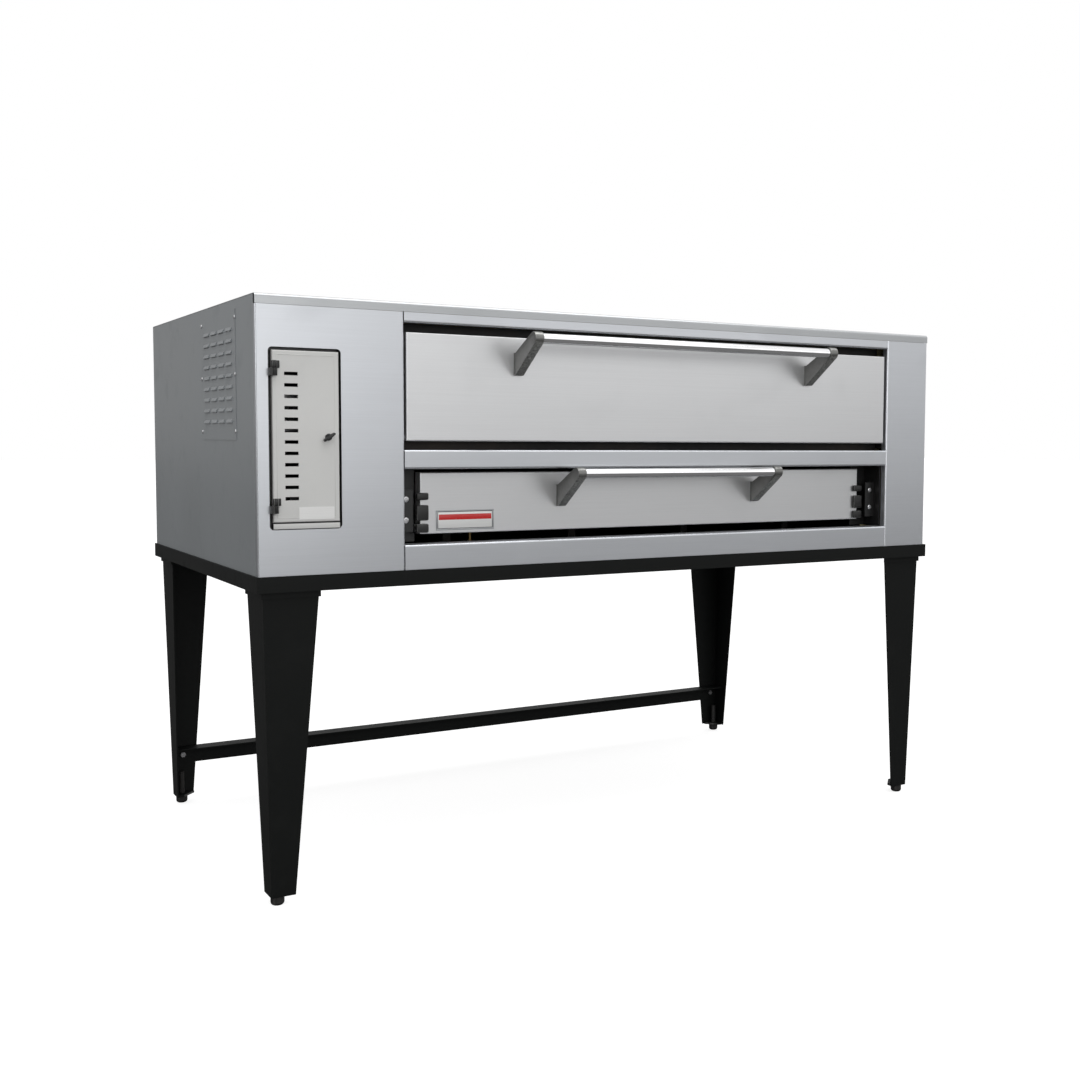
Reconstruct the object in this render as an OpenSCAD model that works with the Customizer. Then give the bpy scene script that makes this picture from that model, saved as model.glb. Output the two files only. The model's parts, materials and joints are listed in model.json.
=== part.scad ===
// Gas deck pizza oven on a leg stand: one bake deck over a burner compartment.
// The part stands on the floor: the origin is under its middle, +X is to the right
// as seen from the front, the doors face -Y and +Z is up.
// Most modules work in the body's own frame: X from its left side, Y from its front
// face towards the back and Z from its underside.

/* [Stand] */
// Height of the body's underside over the floor
stand_h = 775; // [600:5:930]
// Height of the rail under the body
rail_h = 37; // [30:1:60]
// Width of the rail's flat flange, which the body rests on
rail_flange_w = 50; // [40:1:80]
// Thickness of the rail
rail_t = 5; // [3:0.5:8]
// How far the stand's sheet legs stand in from the body's sides
leg_inset = 12; // [8:1:30]
// Width of each leg's two flanges at the top
leg_top_w = 135; // [100:1:180]
// Width of each leg's two flanges at the bottom
leg_bottom_w = 58; // [56:1:90]
// How far each leg's corner leans in over its height
leg_lean = 16; // [0:1:40]
// Thickness of the leg plate
leg_t = 4; // [3:0.5:6]
// Height of the collar that shows under the rail
collar_h = 15; // [8:1:30]
// How far the collar stands out from the leg
collar_t = 3; // [2:0.5:5]
// Height of the rear stretcher's angle section and its depth
stretcher_w = 51; // [20:1:70]
// Height of the stretcher's top over the floor
stretcher_z = 165; // [120:5:400]
// Wall of the stretcher's angle section
stretcher_t = 3; // [2:0.5:5]

/* [Levelling feet] */
// Height of a levelling foot under the leg
foot_h = 22; // [15:1:40]
// Radius of a levelling foot
foot_r = 16; // [12:0.5:22]
// Radius of its stem
foot_stem_r = 8; // [5:0.5:10]
// Length of its stem
foot_stem_len = 70; // [50:1:100]
// Thickness of the plate at the leg's end that carries the stem
foot_plate_t = 6; // [4:0.5:10]

/* [Front openings] */
// Width of both door openings
opening_w = 1523; // [1200:1:1900]
// Width of the front panel left of the openings
left_fascia_w = 350; // [300:1:450]
// Width of the front panel right of the openings
right_fascia_w = 159; // [120:1:250]
// Height of the sill under the burner opening
sill_h = 60; // [45:1:90]
// Height of the burner opening
burner_opening_h = 181; // [176:1:240]
// Height of the band between the openings
band_h = 46; // [40:1:70]
// Height of the bake opening
bake_opening_h = 301; // [260:1:380]
// Height of the header over the bake opening
header_h = 25; // [18:1:60]
// Height of the lid's front lip
lid_lip_h = 23; // [16:1:40]

/* [Casing] */
// Depth of the body
body_d = 1092; // [900:1:1320]
// Thickness of the casing sheet
sheet_t = 1.5; // [1:0.1:2]
// Outside radius of the sheet bends
bend_r = 5; // [3:0.5:8]
// Outside radius of the lid's front edge
lid_r = 8; // [5:0.5:12]
// Gap between neighbouring sheets
seam = 0.6; // [0.3:0.1:1.5]
// Depth of the flange beside and around the openings
return_d = 20; // [15:0.5:22]

/* [Oven chamber] */
// Thickness of the hearth slabs
hearth_t = 50.8; // [38:0.1:60]
// Number of hearth slabs side by side
hearth_count = 4; // [3:1:6]
// Depth of the hearth slabs
hearth_d = 914; // [760:1:930]
// Height of the hearth's top over the bottom of the bake opening
hearth_rise = 39; // [30:1:50]
// Thickness of the chamber's plate walls
wall_t = 3; // [2:0.5:5]
// How far the chamber's front frame overlaps the bake door on each side
door_overlap = 10; // [6:0.5:15]
// Space for insulation behind the chamber
rear_insulation = 96; // [60:1:150]
// Number of burner tubes
burner_count = 4; // [2:1:6]
// Radius of a burner tube
burner_r = 22; // [16:0.5:26]
// Height of the burner tubes' axis over the body's underside
burner_z = 140; // [120:1:160]

/* [Bake door] */
// Gap between the bake door and the opening at each side
bake_side_gap = 7; // [4:0.5:12]
// Gap under the bake door
bake_bottom_gap = 21; // [20:0.5:30]
// Gap over the bake door
bake_top_gap = 22; // [12:0.5:30]
// How far the door's face stands back from the front face
bake_recess = 5; // [3:0.5:6]
// Thickness of the bake door
bake_door_t = 40; // [38:0.5:44]
// Distance of the hinge axis behind the door's face
bake_axis_back = 25; // [22:0.5:26]
// Height of the hinge axis over the door's lower edge
bake_axis_up = 8; // [6:0.5:12]
// Radius of the hinge pins
bake_pin_r = 6; // [4:0.5:8]

/* [Burner door] */
// Space beside the burner door at each side, for its hinges
burner_side_gap = 61; // [55:0.5:80]
// Gap under the burner door
burner_bottom_gap = 20; // [18:0.5:30]
// Gap over the burner door
burner_top_gap = 9; // [6:0.5:20]
// How far the burner door's face stands back from the front face
burner_recess = 57; // [50:0.5:60]
// Depth of the burner door
burner_door_t = 30; // [26:0.5:32]
// Distance of the burner door's hinge axis behind its face and over its lower edge
burner_axis_in = 15; // [12:0.5:16]
// Radius of the burner door's pins
burner_pin_r = 5; // [4:0.5:7]

/* [Handles] */
// Distance between the bake handle's brackets
bake_handle_span = 920; // [600:1:1200]
// Height of the bake handle's bar over the door's lower edge
bake_handle_z = 250; // [220:1:260]
// Distance between the burner handle's brackets
burner_handle_span = 624; // [400:1:900]
// Height of the burner handle's bar over the door's lower edge
burner_handle_z = 148; // [140:1:150]
// Distance from a door's face to its handle bar's axis
handle_reach = 105; // [80:1:115]
// Radius of the handle bars
handle_r = 12.5; // [10:0.5:15]
// Wall of the handle bars
handle_wall = 1.5; // [1:0.1:3]
// Width of a bracket along the bar
bracket_w = 24; // [20:1:34]
// Height of a bracket's foot on the door
bracket_foot_h = 56; // [44:1:70]
// Distance from the bar's axis down to the middle of the foot
bracket_drop = 58; // [45:1:70]
// Radius of the bracket's head, which holds the bar
bracket_head_r = 16; // [14:0.5:20]

/* [Control compartment] */
// Left edge of the compartment's opening from the body's side
control_x = 28; // [20:1:60]
// Width of the opening
control_w = 168; // [150:1:200]
// Height of the opening's lower edge
control_z = 105; // [90:1:110]
// Height of the opening
control_h = 413; // [380:1:440]
// Radius of the opening's corners
control_corner_r = 10; // [6:0.5:16]
// Width of the groove beside the door
control_groove = 8.5; // [6:0.5:12]
// Height of the fixed strip under the door
control_strip_h = 12; // [8:0.5:20]
// Depth of the control door
control_door_t = 12; // [10:0.5:13]
// Number of air slots in the control door
control_slot_count = 12; // [6:1:14]
// Spacing of the slots
control_slot_pitch = 25.7; // [20:0.1:26]
// Radius of the control door's hinge knuckles
knuckle_r = 6.5; // [5:0.5:8]
// Height of a hinge, half of it on the door
knuckle_h = 34; // [24:1:44]
// Radius of the hinge pins
control_pin_r = 3; // [2:0.25:4]

/* [Side access panel] */
// Front edge of the access panel
access_y = 165; // [100:1:200]
// Length of the access panel
access_w = 331; // [290:1:420]
// Gap between the access panel's top edge and the body's top
access_top_gap = 22; // [18:1:60]
// Height of the access panel
access_h = 306; // [280:1:360]
// Louvres in a row
louvre_columns = 4; // [2:1:4]
// Rows of louvres
louvre_rows = 9; // [4:1:10]
// Length of one louvre
louvre_w = 52; // [40:1:56]
// Spacing of the rows
louvre_pitch = 27; // [22:0.5:28]

/* [Gas and flue] */
// Inside radius of the flue collar
flue_r = 75; // [50:0.5:90]
// How far the flue collar stands out at the back
flue_reach = 60; // [45:1:100]
// Outside radius of the gas pipe
gas_pipe_r = 13.35; // [10:0.05:17]
// Wall of the gas pipe
gas_pipe_wall = 2.9; // [2:0.1:3.5]
// How far the gas pipe stands out at the back
gas_pipe_reach = 45; // [30:1:45]

/* [Hidden] */
$fn = 48;

// Clearances that every fit shares
run_fit = 0.05; // round running fits, on the radius
move_gap = 0.5; // between pieces that pass each other
hole_gap = 2.5; // round a pipe that passes through a sheet, on the radius
pack_gap = 3; // between insulation and the sheets round it

// Body sizes that follow from the front's pieces
body_w = left_fascia_w + opening_w + right_fascia_w;
burner_top = sill_h + burner_opening_h;
bake_bottom = burner_top + band_h;
bake_top = bake_bottom + bake_opening_h;
body_h = bake_top + header_h + lid_lip_h;
opening_x0 = left_fascia_w;
opening_x1 = opening_x0 + opening_w;
opening_mid = (opening_x0 + opening_x1) / 2;
fascia_top = body_h - lid_lip_h - seam;
panel_top = body_h - sheet_t - seam;

// Place of the body over the floor, with the whole part centred on the origin
front_reach = handle_reach - bake_recess + bracket_head_r;
total_d = front_reach + body_d + flue_reach;
front_y = front_reach - total_d / 2;

// Stand: the legs' ends, the feet and the stretcher
leg_top_z = -rail_t;
leg_end_z = foot_h + move_gap - stand_h;
leg_len = leg_top_z - leg_end_z;
plate_inset = 1;
leg_plate_z = leg_top_z - leg_t - plate_inset;
foot_in = leg_inset + leg_lean + leg_t + foot_r;
foot_plate_w = leg_bottom_w - leg_t / 2;
foot_plate_cut = leg_t + foot_r;
stretcher_top = stretcher_z - stand_h;
stretcher_drop = leg_top_z - stretcher_top + stretcher_w;
stretcher_gap = 1;
stretcher_in = leg_inset + leg_t + leg_lean * stretcher_drop / leg_len + stretcher_gap;
stretcher_bolt_in = 25;
stretcher_bolt_x = stretcher_in + stretcher_bolt_in;
stretcher_bolt_z = stretcher_top - stretcher_w / 2;

// Casing: where the side sheets start, and the pieces between the two fascias
short_return = 14;
side_y0 = short_return + seam;
inner_x0 = opening_x0 + move_gap;
inner_w = opening_w - 2 * move_gap;
sheet_edge = sheet_t + seam;

// Bake door
bake_x0 = opening_x0 + bake_side_gap;
bake_w = opening_w - 2 * bake_side_gap;
bake_z0 = bake_bottom + bake_bottom_gap;
bake_h = bake_opening_h - bake_bottom_gap - bake_top_gap;
bake_axis_y = bake_recess + bake_axis_back;
bake_axis_z = bake_z0 + bake_axis_up;
bake_back_y = bake_recess + bake_door_t;

// Burner door
burner_x0 = opening_x0 + burner_side_gap;
burner_w = opening_w - 2 * burner_side_gap;
burner_door_z0 = sill_h + burner_bottom_gap;
burner_door_h = burner_opening_h - burner_bottom_gap - burner_top_gap;
burner_axis_y = burner_recess + burner_axis_in;
burner_axis_z = burner_door_z0 + burner_axis_in;
burner_back_y = burner_recess + burner_door_t;

// Hinge hardware
hinge_block_w = 21;
hinge_block_x = opening_x0 - sheet_edge - hinge_block_w;
hinge_block_d = 38;
hinge_block_h = 44;
pin_flange_r = bake_pin_r + 2;
pin_flange_t = 3;
spring_wire_r = 1.5;
spring_turns = 5;
spring_pitch = 3.4;
spring_r = bake_pin_r + spring_wire_r + 2;
spring_sides = 6;
spring_steps = 14;
bake_pin_len = bake_side_gap + 2 + hinge_block_w + spring_turns * spring_pitch + 6;
jamb_t = 4;
ear_w = 10;
ear_r = 11.5;
ear_web_h = 16;
ear_gap = 3;
lug_w = 38;
lug_y = burner_recess - 11;
lug_z = sill_h + 28;
lug_h = 102;
lug_screw_in = 20;
lug_head_r = 7;
lug_screw_rises = [28, 79];
strap_t = 10;
strap_w = 32;
strap_lap = 20;
strap_stretches = [[4, 22], [34, 38], [84, 18]];

// Handles
bake_bar_y = bake_recess - handle_reach;
bake_bar_z = bake_z0 + bake_handle_z;
burner_bar_y = burner_recess - handle_reach;
burner_bar_z = burner_door_z0 + burner_handle_z;
bracket_foot_t = 9;
socket_floor = 4;
socket_depth = bracket_w - socket_floor;

// Oven chamber
door_sweep = norm([bake_door_t - bake_axis_back, bake_axis_up]);
chamber_y0 = bake_axis_y + door_sweep + move_gap;
firebox_y0 = burner_back_y + 2 * jamb_t + seam;
chamber_x0 = bake_x0 + door_overlap;
chamber_x1 = opening_x1 - bake_side_gap - door_overlap;
chamber_w = chamber_x1 - chamber_x0;
chamber_y1 = body_d - sheet_t - rear_insulation - wall_t;
crown_z = bake_z0 + bake_h - door_overlap;
hearth_top = bake_bottom + hearth_rise;
hearth_z = hearth_top - hearth_t;
hearth_y = chamber_y0 + wall_t + 2;
hearth_gap = 1;
slab_w = (chamber_w - (hearth_count + 1) * hearth_gap) / hearth_count;
support_bar_w = 30;
support_bar_h = 8;
support_beam = 20;
firebox_z = 30;
baffle_z = burner_z + burner_r + 30;
baffle_w = 90;
baffle_rise = 28;
port_margin = 60;

// Burners and gas
manifold_y = burner_back_y + 31;
manifold_x0 = 200;
manifold_end_in = 60;
manifold_cap_t = 3;
jet_r = 7.5;
jet_bore_r = 1.2;
jet_len = 22;
bell_y = manifold_y + gas_pipe_r + jet_len - 8;
bell_r = burner_r + 6;
bell_len = 12;
tube_foot_in = 80;
tube_foot_t = 3;
pilot_x = burner_r + 25;
pilot_y = bell_y + 40;
pilot_r = 5;
pilot_hood = [24, 8, 12];
burner_pitch = chamber_w / burner_count;
burner_end_gap = 70;
partition_x = left_fascia_w - 52;
partition_y = return_d + 2;
valve_x0 = 100;
valve_w = manifold_x0 - valve_x0;
valve_d = 70;
valve_h = 90;
valve_port_len = 20;
pipe_bore = gas_pipe_r - gas_pipe_wall;
gas_thread_len = 25;
gas_thread_depth = 0.6;
inlet_x = valve_x0 + valve_w / 2;
valve_knob_r = 20;
valve_knob_h = 26;
valve_grip = 10;
valve_stem_r = 5;
stem_len = 20;

// Thermostat
stat_x = 108;
stat_z = 375;
stat_w = 84;
stat_h = 90;
stat_d = 60;
stat_y = 55;
dial_r = 32;
dial_h = 22;
dial_grip_r = 20;
dial_grip_h = 12;
dial_stem_r = 4;
dial_gap = 3;

// Flue
flue_x = body_w / 2;
flue_z = crown_z - flue_r - 12;
flue_flange_r = flue_r + 25;
flue_mouth_r = flue_r - 5;

// Control door
control_free_groove = 5.5;
control_top_groove = 7;
control_strip_gap = 3;
control_door_x = control_x + control_groove;
control_door_w = control_w - control_groove - control_free_groove;
control_strip_z = control_z + 2;
control_door_z = control_strip_z + control_strip_h + control_strip_gap;
control_door_h = control_z + control_h - control_top_groove - control_door_z;
control_face_y = -1;
control_edge_r = 3;
control_stop_gap = 3;
surround_y = control_face_y + control_door_t + control_stop_gap;
surround_rim = 8;
stop_lap = 6;
knuckle_in = 3.5;
knuckle_x = control_door_x + knuckle_in;
knuckle_y = control_face_y - move_gap - knuckle_r;
knuckle_low_z = control_z + 55 - knuckle_h / 2;
knuckle_high_z = control_z + control_h - 48 - knuckle_h / 2;
knuckle_leaf_w = 13;
knuckle_web_w = 5;
knuckle_web_in = 2;
knuckle_leaf_in = 4;
control_slot_x = control_x + 36;
control_slot_w = 31;
control_slot_h = 8;
control_slot_z = control_z + 67;
latch_x = control_x + control_w - 31;
latch_z = control_z + 211;
latch_base_r = 8;
latch_base_h = 4;
latch_washer_t = 2;
latch_stem_end = 5;
latch_wing_len = 32;
latch_wing_w = 8;
latch_wing_h = 12;
latch_tilt = 35;
latch_stem_r = 4;
latch_washer_r = 7;
plate_t = 0.8;
rating_w = 82;
rating_h = 28;
rating_x = control_x + 67;
rating_z = control_door_z + 6;

// Badge
badge_w = 156;
badge_h = 50;
badge_t = 1.8;
badge_border = 4;
badge_recess = 0.6;
badge_x = burner_x0 + 42;
badge_z = burner_door_z0 + 8;

// Fasteners
stretcher_bolt_r = 3;
bolt_head_r = 9;
stretcher_head_r = 8;
bolt_head_h = 6;
bolt_edge = 24;
screw_r = 2.5;
screw_head_r = 5;
screw_head_h = 2.2;
access_t = 1.2;
access_lap = 8;
access_z = body_h - access_top_gap - access_h;
access_screw_in = 20;
access_screw_ys = [access_y + access_lap / 2, access_y + access_w - access_lap / 2];
access_screw_zs = [
    access_z + access_screw_in, access_z + access_h / 2, access_z + access_h - access_screw_in
];
louvre_h = 9;
louvre_out = 3.4;
louvre_lip = 2;
louvre_hood_t = 0.9;
louvre_root = 0.3;
louvre_slot_h = louvre_h - 2 * louvre_hood_t;
louvre_margin = 13;
louvre_step = (access_w - 2 * access_lap - 2 * louvre_margin) / louvre_columns;
louvre_y0 = access_y + access_lap + louvre_margin + (louvre_step - louvre_w) / 2;
louvre_z0 = access_z + (access_h - (louvre_rows - 1) * louvre_pitch) / 2 - louvre_h / 2;

// ------------------------------------------------------------------ helpers

// Puts the body's own frame in its place over the floor
module in_body() {
    translate([-body_w / 2, front_y, stand_h]) children();
}

// Extrudes a profile drawn in Y and Z along X
module along_x(x0, len) {
    translate([x0, 0, 0]) rotate([90, 0, 90]) linear_extrude(height = len) children();
}

// A round bar along X
module rod_x(x0, len, r) {
    translate([x0, 0, 0]) rotate([0, 90, 0]) cylinder(r = r, h = len);
}

// A round bar along Y
module rod_y(y0, len, r) {
    translate([0, y0, 0]) rotate([-90, 0, 0]) cylinder(r = r, h = len);
}

// Draws a piece at the left end of the openings and its mirror image at the right end
module both_ends() {
    children();
    translate([2 * opening_mid, 0, 0]) mirror([1, 0, 0]) children();
}

// Puts a piece made for the front left corner at any corner: right and rear are 0 or 1
module at_corner(right, rear) {
    translate([right * body_w, rear * body_d, 0])
        mirror([right, 0, 0])
            mirror([0, rear, 0])
                children();
}

// A bent sheet's section: legs along +X and +Y, the outside corner rounded
module l_profile(leg_x, leg_y, r, t) {
    translate([r, 0]) square([leg_x - r, t]);
    translate([0, r]) square([t, leg_y - r]);
    intersection() {
        translate([r, r]) difference() {
            circle(r = r);
            circle(r = r - t);
        }
        square(r);
    }
}

// A channel's section: a web along +X, with a leg along +Y at each end
module u_profile(web, leg_left, leg_right, r, t) {
    l_profile(web / 2, leg_left, r, t);
    translate([web, 0]) mirror([1, 0]) l_profile(web / 2, leg_right, r, t);
}

// Swaps a profile's two directions
module swapped() {
    mirror([1, -1, 0]) children();
}

// A quarter disc whose round side faces the origin corner of its square
module quarter_disc(r) {
    intersection() {
        translate([r, r]) circle(r = r);
        square(r);
    }
}

// A rectangle whose two corners on the X axis are rounded
module front_rounded_profile(w, d, r) {
    translate([0, r]) square([w, d - r]);
    translate([r, 0]) square([w - 2 * r, r]);
    quarter_disc(r);
    translate([w, 0]) mirror([1, 0]) quarter_disc(r);
}

// A rectangle with four rounded corners
module rounded_rectangle(w, h, r) {
    translate([0, r]) square([w, h - 2 * r]);
    translate([r, 0]) square([w - 2 * r, r]);
    translate([r, h - r]) square([w - 2 * r, r]);
    for (right = [0, 1], top = [0, 1])
        translate([right * w, top * h])
            mirror([right, 0])
                mirror([0, top])
                    quarter_disc(r);
}

// A box whose front edges are rounded all round
module front_rounded_box(w, d, h, r) {
    intersection() {
        linear_extrude(height = h) front_rounded_profile(w, d, r);
        along_x(0, w) swapped() front_rounded_profile(h, d, r);
    }
}

// A formed door skin: a rounded front with flanges going back, open behind
module door_tray(w, d, h, r, t) {
    difference() {
        front_rounded_box(w, d, h, r);
        translate([t, t, t]) cube([w - 2 * t, d, h - 2 * t]);
    }
}

// ------------------------------------------------------------------ stand

module front_rear_rails() {
    color("#1c1d1d") in_body() for (rear = [0, 1]) at_corner(0, rear)
        translate([-rail_t, -rail_t, -rail_h]) {
            cube([body_w + 2 * rail_t, rail_t, rail_h]);
            translate([0, 0, rail_h - rail_t])
                cube([body_w + 2 * rail_t, rail_flange_w, rail_t]);
        }
}

module side_rails() {
    inner_y = rail_flange_w - rail_t;
    color("#1c1d1d") in_body() for (right = [0, 1]) at_corner(right, 0) {
        translate([-rail_t, 0, -rail_h]) cube([rail_t, body_d, rail_h - rail_t]);
        translate([-rail_t, inner_y, -rail_t])
            cube([rail_flange_w, body_d - 2 * inner_y, rail_t]);
    }
}

// The leg's L section at one height: its outer corner, and the width of its flanges
function leg_ring(corner, w, z) = [
    [corner, corner, z], [corner + w, corner, z], [corner + w, corner + leg_t, z],
    [corner + leg_t, corner + leg_t, z], [corner + leg_t, corner + w, z], [corner, corner + w, z]
];

// The leg's bent plate, which narrows and leans in towards the floor
module leg_plate() {
    points = concat(
        leg_ring(leg_inset + leg_lean, leg_bottom_w, leg_end_z),
        leg_ring(leg_inset, leg_top_w, leg_top_z)
    );
    n = len(points) / 2;
    sides = [for (k = [0 : n - 1]) [k, n + k, n + (k + 1) % n, (k + 1) % n]];
    ends = [[for (k = [0 : n - 1]) k], [for (k = [n - 1 : -1 : 0]) n + k]];
    polyhedron(points = points, faces = concat(sides, ends));
}

module leg(right, rear) {
    color("#1b1d1c") in_body() at_corner(right, rear) {
        leg_plate();
        // top plate under the rail's flange
        translate([leg_inset + leg_t / 2, leg_inset + leg_t / 2, leg_plate_z])
            cube([leg_top_w - 3 * leg_t, leg_top_w - 3 * leg_t, leg_t]);
        // collar that shows under the rail
        translate([leg_inset - collar_t, leg_inset - collar_t, -rail_h - collar_h])
            difference() {
                cube([leg_top_w + collar_t, leg_top_w + collar_t, collar_h]);
                translate([collar_t + leg_t / 2, collar_t + leg_t / 2, -1])
                    cube([leg_top_w, leg_top_w, collar_h + 2]);
            }
        // plate at the end that carries the levelling foot
        difference() {
            translate([leg_inset + leg_lean, leg_inset + leg_lean, leg_end_z + plate_inset])
                linear_extrude(height = foot_plate_t)
                    polygon([
                        [leg_t / 2, leg_t / 2],
                        [foot_plate_w, leg_t / 2], [foot_plate_w, foot_plate_cut],
                        [foot_plate_cut, foot_plate_w], [leg_t / 2, foot_plate_w]
                    ]);
            translate([foot_in, foot_in, leg_end_z - 1])
                cylinder(r = foot_stem_r + run_fit, h = foot_plate_t + plate_inset + 2);
        }
    }
}

module front_left_leg() { leg(0, 0); }
module front_right_leg() { leg(1, 0); }
module rear_left_leg() { leg(0, 1); }
module rear_right_leg() { leg(1, 1); }

module foot(right, rear) {
    color("#2b2b2a") in_body() at_corner(right, rear)
        translate([foot_in, foot_in, -stand_h]) {
            // bullet: a rounded base that steps in to the stem
            rotate_extrude() {
                translate([0, foot_r / 2]) square([foot_r, foot_h - foot_r / 2]);
                square([foot_r / 2, foot_r / 2]);
                translate([foot_r, 0]) mirror([1, 0]) quarter_disc(foot_r / 2);
            }
            translate([0, 0, foot_h]) cylinder(r = foot_stem_r, h = foot_stem_len);
        }
}

module front_left_foot() { foot(0, 0); }
module front_right_foot() { foot(1, 0); }
module rear_left_foot() { foot(0, 1); }
module rear_right_foot() { foot(1, 1); }

module rear_stretcher() {
    color("#1b1d1c") in_body()
        difference() {
            translate([stretcher_in, body_d - stretcher_in - stretcher_w, stretcher_top - stretcher_w]) {
                translate([0, stretcher_w - stretcher_t, 0])
                    cube([body_w - 2 * stretcher_in, stretcher_t, stretcher_w]);
                translate([0, 0, stretcher_w - stretcher_t])
                    cube([body_w - 2 * stretcher_in, stretcher_w - stretcher_t, stretcher_t]);
            }
            for (right = [0, 1]) at_corner(right, 0)
                translate([stretcher_bolt_x, 0, stretcher_bolt_z])
                    rod_y(body_d - stretcher_in - stretcher_w, 2 * stretcher_w, stretcher_bolt_r);
        }
}

// The nuts under each leg's top plate, and the heads of the stretcher's two bolts
module stand_bolts() {
    near = leg_inset + leg_t + bolt_edge;
    far = leg_inset + leg_top_w - bolt_edge;
    color("#3a3b3a") in_body() {
        for (right = [0, 1], rear = [0, 1], spot = [[near, far], [far, near]])
            at_corner(right, rear)
                translate([spot[0], spot[1], leg_plate_z - bolt_head_h])
                    cylinder(r = bolt_head_r, h = bolt_head_h, $fn = 6);
        for (right = [0, 1]) at_corner(right, 0)
            translate([
                stretcher_bolt_x, body_d - stretcher_in - stretcher_t - bolt_head_h,
                stretcher_bolt_z
            ])
                rotate([-90, 0, 0]) cylinder(r = stretcher_head_r, h = bolt_head_h, $fn = 6);
    }
}

// ------------------------------------------------------------------ casing

// Floor of the body, inside the casing sheets, with a low rim
module base_pan() {
    front = return_d + seam;
    pan_w = body_w - 2 * sheet_edge;
    pan_d = body_d - front - sheet_edge;
    color("#8f9296") in_body() translate([sheet_edge, front, 0])
        difference() {
            cube([pan_w, pan_d, 2 * sheet_t]);
            translate([sheet_t, sheet_t, sheet_t])
                cube([pan_w - 2 * sheet_t, pan_d - 2 * sheet_t, 2 * sheet_t]);
        }
}

module left_side_panel() {
    color("#767a7e") in_body()
        difference() {
            translate([0, side_y0, 0]) cube([sheet_t, body_d - side_y0, panel_top]);
            translate([-1, access_y + access_lap, access_z + access_lap])
                cube([sheet_t + 2, access_w - 2 * access_lap, access_h - 2 * access_lap]);
        }
}

// Runs a piece through every louvre's place
module at_louvres() {
    for (column = [0 : louvre_columns - 1], row = [0 : louvre_rows - 1])
        translate([-access_t, louvre_y0 + column * louvre_step, louvre_z0 + row * louvre_pitch])
            children();
}

// A pressed louvre: a sloping hood with closed ends over its slot, open below
module louvre_hood() {
    rotate([90, 0, 0]) translate([0, 0, -louvre_w]) difference() {
        linear_extrude(height = louvre_w) polygon([
            [louvre_root, louvre_h], [0, louvre_h], [-louvre_out, louvre_lip],
            [-louvre_out, 0], [louvre_root, 0]
        ]);
        translate([0, 0, louvre_hood_t]) linear_extrude(height = louvre_w - 2 * louvre_hood_t)
            polygon([
                [1, louvre_slot_h], [0, louvre_slot_h], [louvre_hood_t - louvre_out, louvre_lip],
                [louvre_hood_t - louvre_out, -1], [1, -1]
            ]);
    }
}

module side_access_panel() {
    color("#7b7f83") in_body() {
        difference() {
            translate([-access_t, access_y, access_z]) cube([access_t, access_w, access_h]);
            at_louvres() translate([-1, louvre_hood_t, 0])
                cube([access_t + 2, louvre_w - 2 * louvre_hood_t, louvre_slot_h]);
            for (y = access_screw_ys, z = access_screw_zs)
                translate([-access_t - 1, y, z]) rotate([0, 90, 0])
                    cylinder(r = screw_r + 0.2, h = access_t + 2);
        }
        at_louvres() louvre_hood();
    }
}

module right_side_panel() {
    color("#767a7e") in_body()
        translate([body_w - sheet_t, side_y0, 0]) cube([sheet_t, body_d - side_y0, panel_top]);
}

module rear_panel() {
    color("#767a7e") in_body()
        difference() {
            translate([sheet_edge, body_d - sheet_t, 0])
                cube([body_w - 2 * sheet_edge, sheet_t, panel_top]);
            translate([flue_x, 0, flue_z]) rod_y(body_d - 5, 10, flue_r + sheet_t + hole_gap);
            translate([inlet_x, 0, burner_z]) rod_y(body_d - 5, 10, gas_pipe_r + hole_gap);
        }
}

module top_panel() {
    color("#d6dadd") in_body() along_x(0, body_w)
        translate([0, body_h]) mirror([0, 1]) l_profile(body_d, lid_lip_h, lid_r, sheet_t);
}

module left_fascia() {
    color("#b9bdc4") in_body()
        difference() {
            linear_extrude(height = fascia_top)
                u_profile(left_fascia_w, short_return, return_d, bend_r, sheet_t);
            translate([control_x, 1 + sheet_t, control_z]) rotate([90, 0, 0])
                linear_extrude(height = sheet_t + 2)
                    rounded_rectangle(control_w, control_h, control_corner_r);
        }
}

module right_fascia() {
    color("#b0b3b8") in_body() translate([opening_x1, 0, 0])
        linear_extrude(height = fascia_top)
            u_profile(right_fascia_w, return_d, short_return, bend_r, sheet_t);
}

module header_panel() {
    color("#c3c6ca") in_body() along_x(inner_x0, inner_w)
        translate([0, bake_top]) l_profile(return_d, header_h - seam, bend_r, sheet_t);
}

module middle_band() {
    color("#babcbe") in_body() along_x(inner_x0, inner_w)
        translate([0, burner_top]) swapped()
            u_profile(band_h, return_d, short_return, bend_r, sheet_t);
}

module sill_panel() {
    color("#a2a4a6") in_body() along_x(inner_x0, inner_w)
        translate([0, sill_h]) mirror([0, 1])
            l_profile(chamber_y0 - seam, sill_h, bend_r, sheet_t);
}

module casing_screws() {
    color("#c9cbcd") in_body() {
        for (y = access_screw_ys, z = access_screw_zs)
            translate([-access_t, y, z]) rotate([0, -90, 0])
                cylinder(r = screw_head_r, h = screw_head_h);
        both_ends() for (rise = lug_screw_rises)
            translate([opening_x0 + lug_screw_in, lug_y, lug_z + rise]) rotate([90, 0, 0])
                cylinder(r = lug_head_r, h = screw_head_h);
    }
}

// ------------------------------------------------------------------ control compartment

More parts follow.
